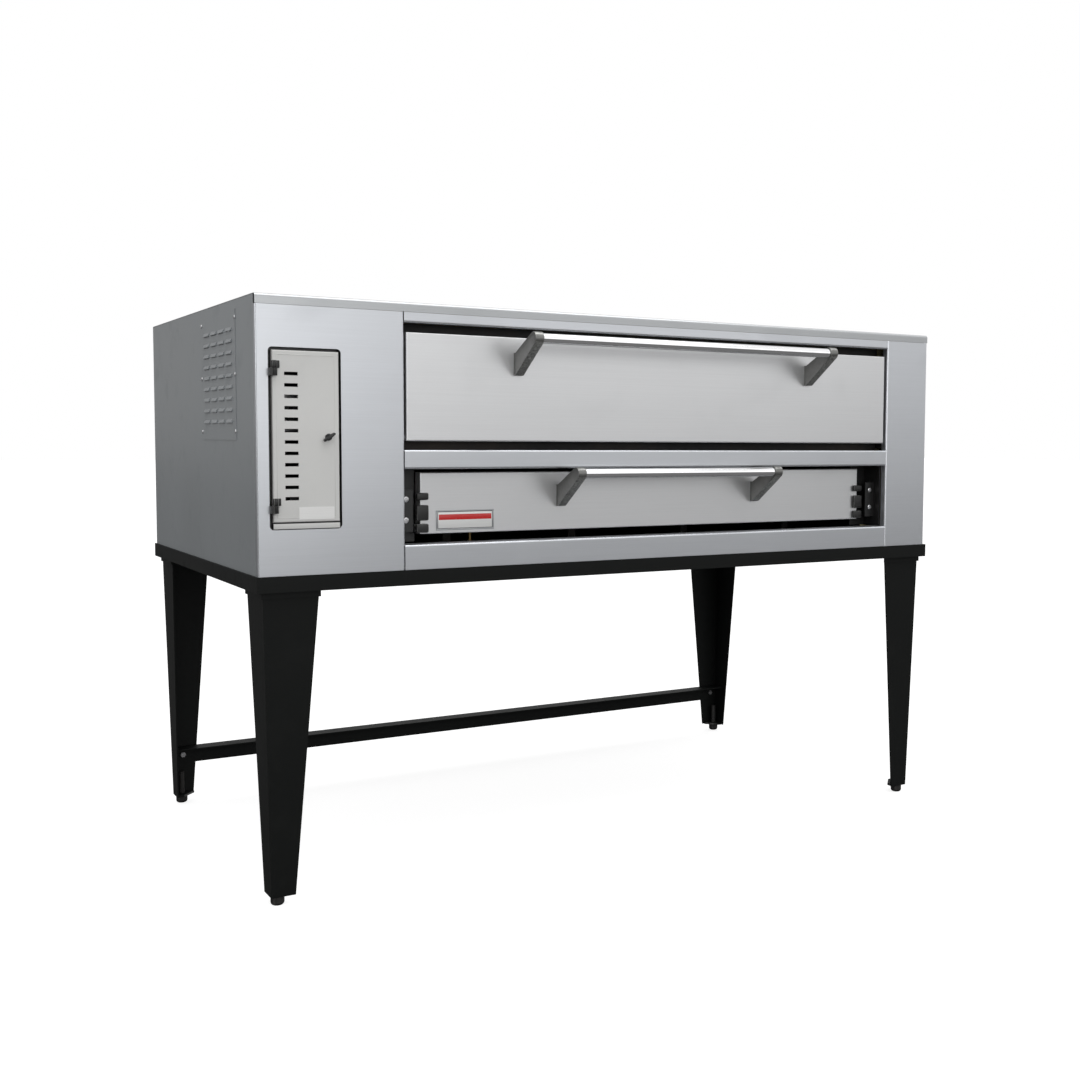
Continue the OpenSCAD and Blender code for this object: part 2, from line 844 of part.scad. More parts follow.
// Frame behind the control opening: it stops the door and carries its hinge pins
module control_surround() {
    in_w = control_w + 2 * surround_rim;
    in_h = control_h + 2 * surround_rim;
    depth = surround_y - sheet_t;
    web_y = knuckle_y - knuckle_r + knuckle_web_in;
    color("#3d4042") in_body() {
        difference() {
            translate([control_x - surround_rim, sheet_t, control_z - surround_rim])
                cube([in_w, depth + sheet_t, in_h]);
            // mouth round the door
            translate([control_x, 0, control_z]) cube([control_w, surround_y, control_h]);
            // way through behind the door, inside the stop
            translate([control_door_x + stop_lap, 0, control_door_z + stop_lap])
                cube([
                    control_door_w - 2 * stop_lap, surround_y + sheet_t + 1,
                    control_door_h - 2 * stop_lap
                ]);
        }
        // fixed strip under the door
        translate([control_door_x, 0, control_strip_z])
            cube([control_door_w, surround_y, control_strip_h]);
        // fixed half of each hinge, with its pin
        for (z = [knuckle_low_z, knuckle_high_z]) {
            translate([knuckle_x, knuckle_y, z]) cylinder(r = knuckle_r, h = knuckle_h / 2);
            translate([knuckle_x, knuckle_y, z]) cylinder(r = control_pin_r, h = knuckle_h - 1);
            translate([control_x, web_y, z])
                cube([knuckle_web_w, surround_y - web_y, knuckle_h / 2]);
            translate([control_x, web_y, z])
                cube([knuckle_x - control_x, knuckle_r, knuckle_h / 2]);
        }
    }
}

module control_door_panel() {
    color("#c4c4c0") in_body()
        difference() {
            translate([control_door_x, control_face_y, control_door_z])
                door_tray(control_door_w, control_door_t, control_door_h, control_edge_r, sheet_t);
            for (i = [0 : control_slot_count - 1])
                translate([control_slot_x, control_face_y - 1, control_slot_z + i * control_slot_pitch])
                    cube([control_slot_w, sheet_t + 2, control_slot_h]);
            translate([latch_x, 0, latch_z])
                rod_y(control_face_y - 1, sheet_t + 2, latch_stem_r + run_fit);
        }
}

// Door half of each hinge: a barrel that turns on the fixed pin, and its leaf
module control_hinge_knuckles() {
    barrel_h = knuckle_h / 2 - move_gap;
    leaf_in = knuckle_r - knuckle_leaf_in;
    color("#151515") in_body() for (z = [knuckle_low_z, knuckle_high_z])
        translate([knuckle_x, knuckle_y, z + knuckle_h / 2 + move_gap])
            difference() {
                union() {
                    cylinder(r = knuckle_r, h = barrel_h);
                    translate([0, leaf_in, 0])
                        cube([knuckle_leaf_w, control_face_y - knuckle_y - leaf_in, barrel_h]);
                }
                translate([0, 0, -1]) cylinder(r = control_pin_r + run_fit, h = knuckle_h);
            }
}

// Thumb turn on a quarter-turn stud
module control_latch() {
    color("#141414") in_body() translate([latch_x, 0, latch_z]) {
        rod_y(control_face_y - latch_base_h, latch_base_h, latch_base_r);
        rod_y(control_face_y, sheet_t + latch_stem_end, latch_stem_r);
        rod_y(control_face_y + sheet_t + move_gap, latch_washer_t, latch_washer_r);
        translate([0, control_face_y - latch_base_h - latch_wing_h, 0])
            rotate([0, -latch_tilt, 0])
                translate([-latch_wing_len / 2, 0, -latch_wing_w / 2])
                    cube([latch_wing_len, latch_wing_h + latch_base_h / 2, latch_wing_w]);
    }
}

module rating_plate() {
    color("#dcdcda") in_body()
        translate([rating_x, control_face_y - plate_t, rating_z]) cube([rating_w, plate_t, rating_h]);
}

module compartment_partition() {
    color("#8f9296") in_body()
        difference() {
            translate([partition_x, partition_y, 2 * sheet_t])
                cube([sheet_t, body_d - partition_y - sheet_edge, panel_top - 2 * sheet_t - seam]);
            translate([0, manifold_y, burner_z]) rod_x(partition_x - 1, 5, gas_pipe_r + hole_gap);
        }
}

module gas_valve() {
    color("#a9aaa6") in_body() {
        difference() {
            translate([valve_x0, manifold_y - valve_d / 2, burner_z - valve_h / 2])
                cube([valve_w, valve_d, valve_h]);
            translate([0, manifold_y, burner_z])
                rod_x(manifold_x0 - valve_port_len, valve_port_len + 1, pipe_bore);
        }
        translate([inlet_x, 0, burner_z])
            rod_y(manifold_y - valve_d / 2 - stem_len, stem_len, valve_stem_r);
    }
}

module gas_valve_knob() {
    knob_y = manifold_y - valve_d / 2 - dial_gap - valve_knob_h;
    color("#b3201c") in_body() translate([inlet_x, 0, burner_z])
        difference() {
            union() {
                rod_y(knob_y + valve_grip, valve_knob_h - valve_grip, valve_knob_r);
                translate([-valve_grip / 2, knob_y, 1 - valve_knob_r])
                    cube([valve_grip, valve_grip, 2 * valve_knob_r - 2]);
            }
            rod_y(manifold_y - valve_d / 2 - stem_len - 1, stem_len + 2, valve_stem_r + run_fit);
        }
}

module thermostat() {
    foot_w = partition_x - stat_x - stat_w / 2;
    color("#9a9c9e") in_body() {
        translate([stat_x - stat_w / 2, stat_y, stat_z - stat_h / 2]) cube([stat_w, stat_d, stat_h]);
        // bracket to the partition
        translate([stat_x + stat_w / 2, stat_y + stat_d / 2, stat_z - stat_h / 2])
            cube([foot_w, 2, stat_h]);
        translate([stat_x, 0, stat_z]) rod_y(stat_y - stem_len, stem_len, dial_stem_r);
    }
}

module thermostat_dial() {
    dial_y = stat_y - dial_gap - dial_h;
    color("#202020") in_body() translate([stat_x, 0, stat_z])
        difference() {
            union() {
                rod_y(dial_y + dial_grip_h, dial_h - dial_grip_h, dial_r);
                rod_y(dial_y, dial_grip_h, dial_grip_r);
            }
            rod_y(stat_y - stem_len - run_fit, stem_len + 2, dial_stem_r + run_fit);
        }
}

// ------------------------------------------------------------------ chamber and hearth

module firebox_floor() {
    front = chamber_y0 + wall_t + seam;
    tray_d = chamber_y1 - seam - front;
    tray_h = firebox_z - sheet_t;
    color("#6f7173") in_body() translate([chamber_x0, front, sheet_t])
        difference() {
            cube([chamber_w, tray_d, tray_h]);
            translate([wall_t, wall_t, -1])
                cube([chamber_w - 2 * wall_t, tray_d - 2 * wall_t, tray_h - wall_t + 1]);
        }
}

// The two side walls with their front flanges, and the rear wall
module chamber_walls() {
    low = sheet_t;
    flange_w = chamber_x0 - opening_x0 - move_gap;
    color("#4b4c4d") in_body() {
        both_ends() difference() {
            translate([chamber_x0 - wall_t, 0, 0]) {
                translate([0, firebox_y0, low])
                    cube([wall_t, chamber_y1 - seam - firebox_y0, crown_z - low]);
                translate([0, chamber_y0, burner_top])
                    cube([wall_t, firebox_y0 - chamber_y0 + 1, crown_z - burner_top]);
                translate([wall_t - flange_w, chamber_y0, burner_top])
                    cube([flange_w, wall_t, crown_z - burner_top]);
            }
            translate([0, manifold_y, burner_z])
                rod_x(chamber_x0 - wall_t - 1, wall_t + 2, gas_pipe_r + hole_gap);
        }
        difference() {
            translate([chamber_x0 - wall_t, chamber_y1, low])
                cube([chamber_w + 2 * wall_t, wall_t, crown_z - low]);
            translate([flue_x, 0, flue_z]) rod_y(chamber_y1 - 1, wall_t + 2, flue_mouth_r);
        }
    }
}

// The crown sheet, and the two strips of the front frame: over the mouth, and the apron
// before the hearth
module chamber_crown() {
    color("#4b4c4d") in_body() {
        translate([chamber_x0, chamber_y0, burner_top])
            cube([chamber_w, wall_t, hearth_top - burner_top]);
        translate([chamber_x0 - wall_t, chamber_y0, crown_z])
            cube([chamber_w + 2 * wall_t, chamber_y1 + wall_t - chamber_y0, wall_t]);
        translate([opening_x0 + move_gap, chamber_y0, crown_z])
            cube([opening_w - 2 * move_gap, wall_t, bake_top + sheet_t - crown_z]);
    }
}

module insulation() {
    low = 2 * sheet_t + pack_gap;
    front = firebox_y0;
    back = body_d - sheet_t - pack_gap;
    top = body_h - sheet_t - seam - pack_gap;
    left = partition_x + sheet_t + pack_gap;
    right = body_w - sheet_t - pack_gap;
    wall_x = chamber_x0 - wall_t - pack_gap;
    color("#e3d9a8") in_body() {
        difference() {
            translate([left, front, low]) cube([wall_x - left, chamber_y1 - front, crown_z - low]);
            translate([0, manifold_y, burner_z])
                rod_x(left - 1, wall_x - left + 2, gas_pipe_r + hole_gap);
        }
        translate([2 * opening_mid - wall_x, front, low])
            cube([right - 2 * opening_mid + wall_x, chamber_y1 - front, crown_z - low]);
        difference() {
            translate([left, chamber_y1 + wall_t + pack_gap, low])
                cube([right - left, back - chamber_y1 - wall_t - pack_gap, crown_z - low]);
            translate([flue_x, 0, flue_z])
                rod_y(chamber_y1, rear_insulation + wall_t + 2, flue_r + sheet_t + 1);
        }
        translate([left, front, crown_z + wall_t + pack_gap])
            cube([right - left, back - front, top - crown_z - wall_t - pack_gap]);
    }
}

module hearth_slabs() {
    color("#d8ccb4") in_body() for (i = [0 : hearth_count - 1])
        translate([chamber_x0 + hearth_gap + i * (slab_w + hearth_gap), hearth_y, hearth_z])
            cube([slab_w, hearth_d, hearth_t]);
}

// Bars under the slabs' joints and ends, on two cross beams
module hearth_supports() {
    last = hearth_count;
    color("#5b5d5f") in_body() {
        for (i = [0 : last]) {
            shift = i == 0 ? 0 : i == last ? support_bar_w : support_bar_w / 2;
            translate([
                chamber_x0 + hearth_gap + i * (chamber_w - 2 * hearth_gap) / last - shift,
                hearth_y, hearth_z - support_bar_h
            ])
                cube([support_bar_w, hearth_d, support_bar_h]);
        }
        for (y = [hearth_y + support_beam, hearth_y + hearth_d - 2 * support_beam])
            translate([chamber_x0, y, hearth_z - support_bar_h - support_beam])
                cube([chamber_w, support_beam, support_beam]);
    }
}

// Centre of each burner along X
function burner_x(i) = chamber_x0 + burner_pitch * (i + 0.5);

// A peaked plate over each burner that spreads its heat under the hearth
module flame_baffles() {
    color("#5b5d5f") in_body() for (i = [0 : burner_count - 1])
        translate([burner_x(i), hearth_y + 3 * support_beam, baffle_z])
            rotate([90, 0, 0]) translate([0, 0, -(hearth_d - 6 * support_beam)])
                linear_extrude(height = hearth_d - 6 * support_beam)
                    polygon([
                        [-baffle_w / 2, 0], [0, baffle_rise], [baffle_w / 2, 0],
                        [baffle_w / 2, 2], [0, baffle_rise + 2], [-baffle_w / 2, 2]
                    ]);
}

// A burner: a bell-mouthed tube with a row of flame ports along its top, on two feet
module burner_tubes() {
    tube_len = chamber_y1 - bell_y - burner_end_gap;
    color("#6a6c6e") in_body() for (i = [0 : burner_count - 1])
        translate([burner_x(i), bell_y, burner_z]) {
            difference() {
                union() {
                    rod_y(0, bell_len, bell_r);
                    rod_y(bell_len, tube_len - bell_len, burner_r);
                }
                rod_y(-1, tube_len - 4, burner_r - 2);
                translate([-1, port_margin, 0]) cube([2, tube_len - 2 * port_margin, burner_r + 5]);
            }
            for (y = [tube_foot_in, tube_len - tube_foot_in])
                translate([-burner_r / 2, y, firebox_z - burner_z])
                    cube([burner_r, tube_foot_t, burner_z - firebox_z - burner_r + 1]);
        }
}

module gas_manifold() {
    manifold_len = chamber_x1 - manifold_end_in - manifold_x0;
    color("#3b3c3d") in_body() translate([0, manifold_y, burner_z])
        difference() {
            rod_x(manifold_x0, manifold_len, gas_pipe_r);
            rod_x(manifold_x0 - 1, manifold_len + 1 - manifold_cap_t, pipe_bore);
            for (i = [0 : burner_count - 1]) translate([burner_x(i), 0, 0])
                rod_y(0, gas_pipe_r + 2, screw_r);
        }
}

// Hexagon orifice spuds on the manifold, and the pilot beside the first burner
module gas_jets() {
    color("#b8963e") in_body() {
        for (i = [0 : burner_count - 1]) translate([burner_x(i), manifold_y, burner_z])
            difference() {
                rotate([-90, 0, 0]) cylinder(r = jet_r, h = gas_pipe_r + jet_len, $fn = 6);
                rod_x(-2 * jet_r, 4 * jet_r, gas_pipe_r);
                rod_y(0, gas_pipe_r + jet_len + 1, jet_bore_r);
            }
        translate([burner_x(0) + pilot_x, pilot_y, firebox_z]) {
            cylinder(r = pilot_r, h = burner_z - firebox_z);
            translate([-pilot_hood[0] / 2, -pilot_hood[1] / 2, burner_z - firebox_z])
                cube(pilot_hood);
        }
    }
}

module flue_collar() {
    spigot_y = chamber_y1 + wall_t;
    color("#8d9093") in_body() translate([flue_x, 0, flue_z])
        difference() {
            union() {
                rod_y(spigot_y, body_d + flue_reach - spigot_y, flue_r + sheet_t);
                rod_y(body_d, 2, flue_flange_r);
            }
            rod_y(spigot_y - 1, body_d + flue_reach - spigot_y + 2, flue_r);
        }
}

module gas_inlet_pipe() {
    pipe_y = manifold_y + valve_d / 2;
    color("#3b3c3d") in_body() translate([inlet_x, 0, burner_z])
        difference() {
            union() {
                rod_y(pipe_y, body_d + gas_pipe_reach - gas_thread_len - pipe_y, gas_pipe_r);
                rod_y(pipe_y, body_d + gas_pipe_reach - pipe_y, gas_pipe_r - gas_thread_depth);
            }
            rod_y(pipe_y - 1, body_d + gas_pipe_reach - pipe_y + 2, pipe_bore);
        }
}

// ------------------------------------------------------------------ handles

// A cast bracket: a long foot with rounded ends on the door that tapers up and out to
// the head, whose blind socket takes the bar's end
module handle_bracket(face_y, bar_y, bar_z) {
    end_r = bracket_w / 2;
    difference() {
        hull() {
            for (up = [-1, 1])
                translate([0, face_y - bracket_foot_t, bar_z - bracket_drop]) rotate([-90, 0, 0])
                    translate([0, up * (bracket_foot_h / 2 - end_r), 0])
                        cylinder(r = end_r, h = bracket_foot_t, $fn = 32);
            translate([-bracket_w / 2, bar_y, bar_z]) rotate([0, 90, 0])
                cylinder(r = bracket_head_r, h = bracket_w, $fn = 32);
        }
        translate([0, bar_y, bar_z])
            rod_x(bracket_w / 2 - socket_depth, 2 * bracket_w, handle_r + run_fit);
    }
}

module handle_brackets(span, face_y, bar_y, bar_z) {
    for (right = [0, 1]) translate([opening_mid + (right - 0.5) * span, 0, 0])
        mirror([right, 0, 0]) handle_bracket(face_y, bar_y, bar_z);
}

module handle_bar(span, bar_y, bar_z) {
    len = span - bracket_w + 2 * socket_depth - 2 * run_fit;
    translate([opening_mid - len / 2, bar_y, bar_z]) difference() {
        rod_x(0, len, handle_r);
        rod_x(-1, len + 2, handle_r - handle_wall);
    }
}

// ------------------------------------------------------------------ bake door

module bake_door_skin() {
    color("#c8c9cc") in_body() translate([bake_x0, bake_recess, bake_z0])
        door_tray(bake_w, bake_door_t - sheet_t, bake_h, bend_r - 2, sheet_t);
}

module bake_door_liner() {
    color("#9b9da0") in_body()
        translate([bake_x0, bake_back_y - sheet_t, bake_z0]) cube([bake_w, sheet_t, bake_h]);
}

module bake_door_core() {
    gap = 2 * sheet_t;
    color("#e3d9a8") in_body() translate([bake_x0 + gap, bake_recess + gap, bake_z0 + gap])
        cube([bake_w - 2 * gap, bake_door_t - 2 * gap, bake_h - 2 * gap]);
}

module bake_handle_bar() {
    color("#e8e9ea") in_body() handle_bar(bake_handle_span, bake_bar_y, bake_bar_z);
}

module bake_handle_brackets() {
    color("#686765") in_body()
        handle_brackets(bake_handle_span, bake_recess, bake_bar_y, bake_bar_z);
}

module bake_door_pins() {
    color("#4b4c4d") in_body() both_ends() translate([bake_x0, bake_axis_y, bake_axis_z]) {
        rod_x(-pin_flange_t, pin_flange_t, pin_flange_r);
        rod_x(-bake_pin_len, bake_pin_len, bake_pin_r);
    }
}

module bake_hinge_blocks() {
    color("#2e2f30") in_body() both_ends() difference() {
        translate([hinge_block_x, return_d + move_gap, bake_axis_z - hinge_block_h / 2])
            cube([hinge_block_w, hinge_block_d, hinge_block_h]);
        translate([0, bake_axis_y, bake_axis_z])
            rod_x(hinge_block_x - 1, hinge_block_w + 2, bake_pin_r + run_fit);
    }
}

// Points of a ring of the spring's wire, at an angle round the hinge axis
function spring_ring(a) = [
    for (k = [0 : spring_sides - 1])
        let (b = 360 * k / spring_sides, r = spring_r + spring_wire_r * cos(b))
        [a / 360 * spring_pitch + spring_wire_r * sin(b), r * cos(a), r * sin(a)]
];

module torsion_spring() {
    rings = spring_turns * spring_steps;
    points = [for (i = [0 : rings]) each spring_ring(i * 360 / spring_steps)];
    sides = [
        for (i = [0 : rings - 1], k = [0 : spring_sides - 1])
            let (n = (k + 1) % spring_sides, a = i * spring_sides, b = a + spring_sides)
            [a + k, a + n, b + n, b + k]
    ];
    caps = [
        [for (k = [spring_sides - 1 : -1 : 0]) k],
        [for (k = [0 : spring_sides - 1]) rings * spring_sides + k]
    ];
    polyhedron(points = points, faces = concat(sides, caps), convexity = 10);
}

module balance_springs() {
    coil_x = hinge_block_x - 1 - spring_wire_r - spring_turns * spring_pitch;
    color("#8a8c8e") in_body() both_ends()
        translate([coil_x, bake_axis_y, bake_axis_z]) torsion_spring();
}

// ------------------------------------------------------------------ burner door

module burner_door_panel() {
    color("#b5b6b9") in_body() {
        translate([burner_x0, burner_recess, burner_door_z0])
            door_tray(burner_w, burner_door_t, burner_door_h, bend_r - 2, sheet_t);
        both_ends() translate([burner_x0, burner_axis_y, burner_axis_z])
            rod_x(-ear_gap - ear_w, ear_gap + ear_w + sheet_t, burner_pin_r);
    }
}

module burner_handle_bar() {
    color("#e8e9ea") in_body() handle_bar(burner_handle_span, burner_bar_y, burner_bar_z);
}

module burner_handle_brackets() {
    color("#686765") in_body()
        handle_brackets(burner_handle_span, burner_recess, burner_bar_y, burner_bar_z);
}

// Lugs on the door's ends that overlap the hinge plates
module burner_door_straps() {
    color("#121313") in_body() both_ends() for (stretch = strap_stretches)
        translate([
            burner_x0 + strap_lap - strap_w, burner_recess - strap_t, burner_door_z0 + stretch[0]
        ])
            cube([strap_w, strap_t, stretch[1]]);
}

// Fixed plates that line the opening's ends and carry the door's pins in round ears
module burner_hinge_plates() {
    plate_x = opening_x0 + move_gap;
    plate_z = sill_h + move_gap;
    plate_h = burner_opening_h - 2 * move_gap;
    back_y = burner_back_y + jamb_t;
    ear_x = burner_x0 - ear_gap - ear_w;
    color("#141515") in_body() both_ends() difference() {
        union() {
            translate([plate_x, partition_y, plate_z])
                cube([jamb_t, back_y + jamb_t - partition_y, plate_h]);
            translate([plate_x + jamb_t, back_y, plate_z])
                cube([burner_side_gap - jamb_t - 2, jamb_t, plate_h]);
            translate([plate_x + jamb_t, lug_y, lug_z]) cube([lug_w - jamb_t, jamb_t, lug_h]);
            translate([0, burner_axis_y, burner_axis_z]) rod_x(ear_x, ear_w, ear_r);
            translate([ear_x, burner_axis_y, burner_axis_z - ear_web_h / 2])
                cube([ear_w, back_y - burner_axis_y, ear_web_h]);
        }
        translate([0, burner_axis_y, burner_axis_z])
            rod_x(ear_x - 1, ear_w + 2, burner_pin_r + run_fit);
    }
}

// Plain plate with a raised border
module badge() {
    color("#c8312e") in_body() translate([badge_x, burner_recess - badge_t, badge_z])
        difference() {
            cube([badge_w, badge_t, badge_h]);
            translate([badge_border, -1, badge_border])
                cube([badge_w - 2 * badge_border, 1 + badge_recess, badge_h - 2 * badge_border]);
        }
}

// ------------------------------------------------------------------ nodes

front_rear_rails();
side_rails();
front_left_leg();
front_right_leg();
rear_left_leg();
rear_right_leg();
rear_stretcher();
stand_bolts();
front_left_foot();
front_right_foot();
rear_left_foot();
rear_right_foot();
base_pan();
left_side_panel();
side_access_panel();
right_side_panel();
rear_panel();
top_panel();
left_fascia();
right_fascia();
header_panel();
middle_band();
sill_panel();
casing_screws();
control_surround();
compartment_partition();
firebox_floor();
chamber_walls();
chamber_crown();
insulation();
hearth_slabs();
hearth_supports();
flame_baffles();
burner_tubes();
gas_manifold();
gas_jets();
flue_collar();
gas_inlet_pipe();
gas_valve();
gas_valve_knob();
thermostat();
thermostat_dial();
bake_door_skin();
bake_door_liner();
bake_door_core();
bake_handle_bar();
bake_handle_brackets();
bake_door_pins();
bake_hinge_blocks();
balance_springs();
burner_door_panel();
burner_handle_bar();
burner_handle_brackets();
burner_door_straps();
burner_hinge_plates();
badge();
control_door_panel();
control_hinge_knuckles();
control_latch();
rating_plate();
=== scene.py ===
"""Looks of the gas deck pizza oven: finishes, castings, fasteners, studio and camera.

Lengths are in metres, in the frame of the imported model: +X is to the right as seen from
the front, the doors face -Y and +Z is up.
"""

import json
import math

import bmesh
import bpy
from mathutils import Matrix, Vector, noise


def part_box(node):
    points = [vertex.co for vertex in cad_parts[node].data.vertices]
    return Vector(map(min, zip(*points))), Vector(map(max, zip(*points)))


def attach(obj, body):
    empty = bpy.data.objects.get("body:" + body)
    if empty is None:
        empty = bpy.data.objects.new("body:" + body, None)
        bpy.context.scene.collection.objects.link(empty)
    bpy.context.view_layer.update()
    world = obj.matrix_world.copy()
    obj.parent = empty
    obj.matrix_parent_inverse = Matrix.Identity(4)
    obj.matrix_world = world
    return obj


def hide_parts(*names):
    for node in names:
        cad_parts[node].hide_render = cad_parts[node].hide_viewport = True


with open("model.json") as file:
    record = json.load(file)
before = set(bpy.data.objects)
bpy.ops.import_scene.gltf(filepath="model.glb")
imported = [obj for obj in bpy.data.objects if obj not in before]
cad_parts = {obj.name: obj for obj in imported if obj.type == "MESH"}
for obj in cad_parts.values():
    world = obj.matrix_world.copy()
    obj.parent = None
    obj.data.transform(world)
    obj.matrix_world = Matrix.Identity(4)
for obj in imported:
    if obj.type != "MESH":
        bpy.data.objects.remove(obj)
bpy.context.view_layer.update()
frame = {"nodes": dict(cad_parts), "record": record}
NODES = frame["nodes"]

MM = 0.001


# ---------------------------------------------------------------- shader expressions

class Value:
    """A number that changes over a surface. Python's operators add Math nodes to it."""

    def __init__(self, finish, socket):
        self.finish = finish
        self.socket = socket

    def math(self, operation, *others):
        node = self.finish.node(
            "ShaderNodeMath", {"operation": operation},
            {i: v for i, v in enumerate((self, *others))},
        )
        return Value(self.finish, node.outputs[0])

    def __add__(self, other):
        return self.math("ADD", other)

    def __sub__(self, other):
        return self.math("SUBTRACT", other)

    def __mul__(self, other):
        return self.math("MULTIPLY", other)

    __radd__ = __add__
    __rmul__ = __mul__

    def __rsub__(self, other):
        return (self * -1.0).math("ADD", other)

    def __abs__(self):
        return self.math("ABSOLUTE")

    def most(self, other):
        return self.math("MAXIMUM", other)

    def rise(self, low, high):
        """0 below low and 1 above high, with a smooth step between."""
        node = self.finish.node(
            "ShaderNodeMapRange", {"interpolation_type": "SMOOTHSTEP"},
            {"Value": self, "From Min": low, "From Max": high},
        )
        return Value(self.finish, node.outputs["Result"])


class Finish:
    """One material: its surface shader, and the nodes that feed it."""

    def __init__(self, name, **constants):
        self.material = bpy.data.materials.new(name)
        self.material.use_nodes = True
        self.tree = self.material.node_tree
        self.shader = self.tree.nodes["Principled BSDF"]
        for socket, value in constants.items():
            self.set(socket.replace("_", " "), value)
        self.place = self.node("ShaderNodeTexCoord").outputs["Object"]
        self.facing = self.tree.nodes[-1].outputs["Normal"]

    def node(self, kind, settings=None, inputs=None):
        """Any node: its settings first, then the values or links of its sockets."""
        node = self.tree.nodes.new(kind)
        for name, value in (settings or {}).items():
            setattr(node, name, value)
        for name, value in (inputs or {}).items():
            self.feed(node.inputs[name], value)
        return node

    def feed(self, socket, value):
        if isinstance(value, Value):
            value = value.socket
        if isinstance(value, bpy.types.NodeSocket):
            self.tree.links.new(value, socket)
        elif socket.type == "RGBA" and len(value) == 3:
            socket.default_value = (*value, 1.0)
        else:
            socket.default_value = value

    def set(self, name, value):
        self.feed(self.shader.inputs[name], value)

    def stretched(self, stretch):
        """The place on the object, stretched along each axis."""
        return self.node(
            "ShaderNodeMapping", None, {"Vector": self.place, "Scale": stretch}
        ).outputs["Vector"]

    def noise(self, scale, stretch=(1, 1, 1), detail=3.0, roughness=0.55, distortion=0.0):
        node = self.node("ShaderNodeTexNoise", None, {
            "Vector": self.stretched(stretch), "Scale": scale, "Detail": detail,
            "Roughness": roughness, "Distortion": distortion,
        })
        return Value(self, node.outputs[0])

    def cells(self, scale):
        node = self.node("ShaderNodeTexVoronoi", {"feature": "F1"}, {
            "Vector": self.place, "Scale": scale,
        })
        return Value(self, node.outputs["Distance"])

    def axis(self, letter, source=None):
        node = self.node("ShaderNodeSeparateXYZ", None, {0: source or self.place})
        return Value(self, node.outputs[letter])

    def bends(self):
        """1 on rolled edges and corners, 0 on the flat faces along the axes."""
        x, y, z = (abs(self.axis(a, self.facing)) for a in "XYZ")
        return (1 - x.most(y).most(z)).rise(0.02, 0.22)

    def mix(self, share, first, second):
        node = self.node("ShaderNodeMix", {"data_type": "RGBA"}, {0: share, 6: first, 7: second})
        return node.outputs[2]

    def bump(self, height, strength, distance):
        node = self.node("ShaderNodeBump", None, {
            "Height": height, "Strength": strength, "Distance": distance,
        })
        self.set("Normal", node.outputs["Normal"])


def shade(colour, factor):
    return tuple(c * factor for c in colour)


# ---------------------------------------------------------------- finishes

def brushed(name, colour, grain, roughness=0.34, metallic=0.85):
    """Sheet steel brushed along one axis, with soft streaks, handling marks and a painted highlight
    on the bends.
    """
    f = Finish(name, Metallic=metallic)
    fine = f.noise(60.0, stretch=grain, detail=4.0, roughness=0.7)
    streak = f.noise(9.0, stretch=grain, detail=2.0)
    broad = f.noise(1.7, detail=2.0, roughness=0.4)
    smudge = f.noise(5.5, detail=3.0, distortion=0.6).rise(0.52, 0.78)
    bends = f.bends()
    tone = f.mix(fine * 0.45 + streak * 0.35 + broad * 0.2, shade(colour, 0.86), shade(colour, 1.12))
    tone = f.mix(smudge * 0.09, tone, shade(colour, 0.82))
    # painted highlight: rolled edges and corners are made lighter in the colour, where light catches
    # them
    f.set("Base Color", f.mix(bends * 0.8, tone, shade(colour, 1.6)))
    rough = roughness + (fine - 0.5) * 0.16 + smudge * 0.05 - bends * 0.08
    f.set("Roughness", rough)
    f.bump(fine * 0.7 + streak * 0.3, 0.10, 0.0004)
    return f.material


BARE_STEEL = (0.42, 0.42, 0.41)


def enamel(name, colour, roughness=0.36, wear=0.5, sheen=1.0):
    """Painted steel: a faint orange peel, dust in the flats, rubbed through on the edges."""
    f = Finish(name, Specular_IOR_Level=0.45 * sheen, Coat_Roughness=0.28)
    peel_height = f.noise(420.0, detail=2.0, roughness=0.4)
    cloud = f.noise(2.2, detail=4.0)
    scuff = f.noise(38.0, stretch=(1, 1, 0.35), detail=5.0, roughness=0.7)
    dust = f.noise(13.0, detail=6.0, roughness=0.65).rise(0.5, 0.75)
    rubbed = (f.bends() * scuff).rise(0.36, 0.62) * wear
    tone = f.mix(cloud, shade(colour, 0.86), shade(colour, 1.14))
    tone = f.mix(dust * (0.16 * sheen), tone, tuple(c * 0.75 + 0.05 for c in colour))
    f.set("Base Color", f.mix(rubbed, tone, BARE_STEEL))
    f.set("Metallic", rubbed * 0.8)
    f.set("Roughness", roughness + (cloud - 0.5) * 0.14 + dust * 0.12)
    f.set("Coat Weight", (1 - rubbed) * (0.18 * sheen))
    f.bump(peel_height * 0.5 + scuff * 0.5, 0.10, 0.0006)
    return f.material


def polished(name):
    """Bright plated bar, with faint hairlines round it and fingermarks."""
    f = Finish(name, Metallic=1.0)
    hair = f.noise(24.0, stretch=(40, 1, 1), detail=3.0)
    print_marks = f.noise(22.0, detail=4.0).rise(0.55, 0.75)
    f.set("Base Color", f.mix(print_marks * 0.3, (0.93, 0.93, 0.94), (0.82, 0.82, 0.83)))
    f.set("Roughness", 0.10 + (hair - 0.5) * 0.06 + print_marks * 0.12)
    f.bump(hair, 0.04, 0.0002)
    return f.material


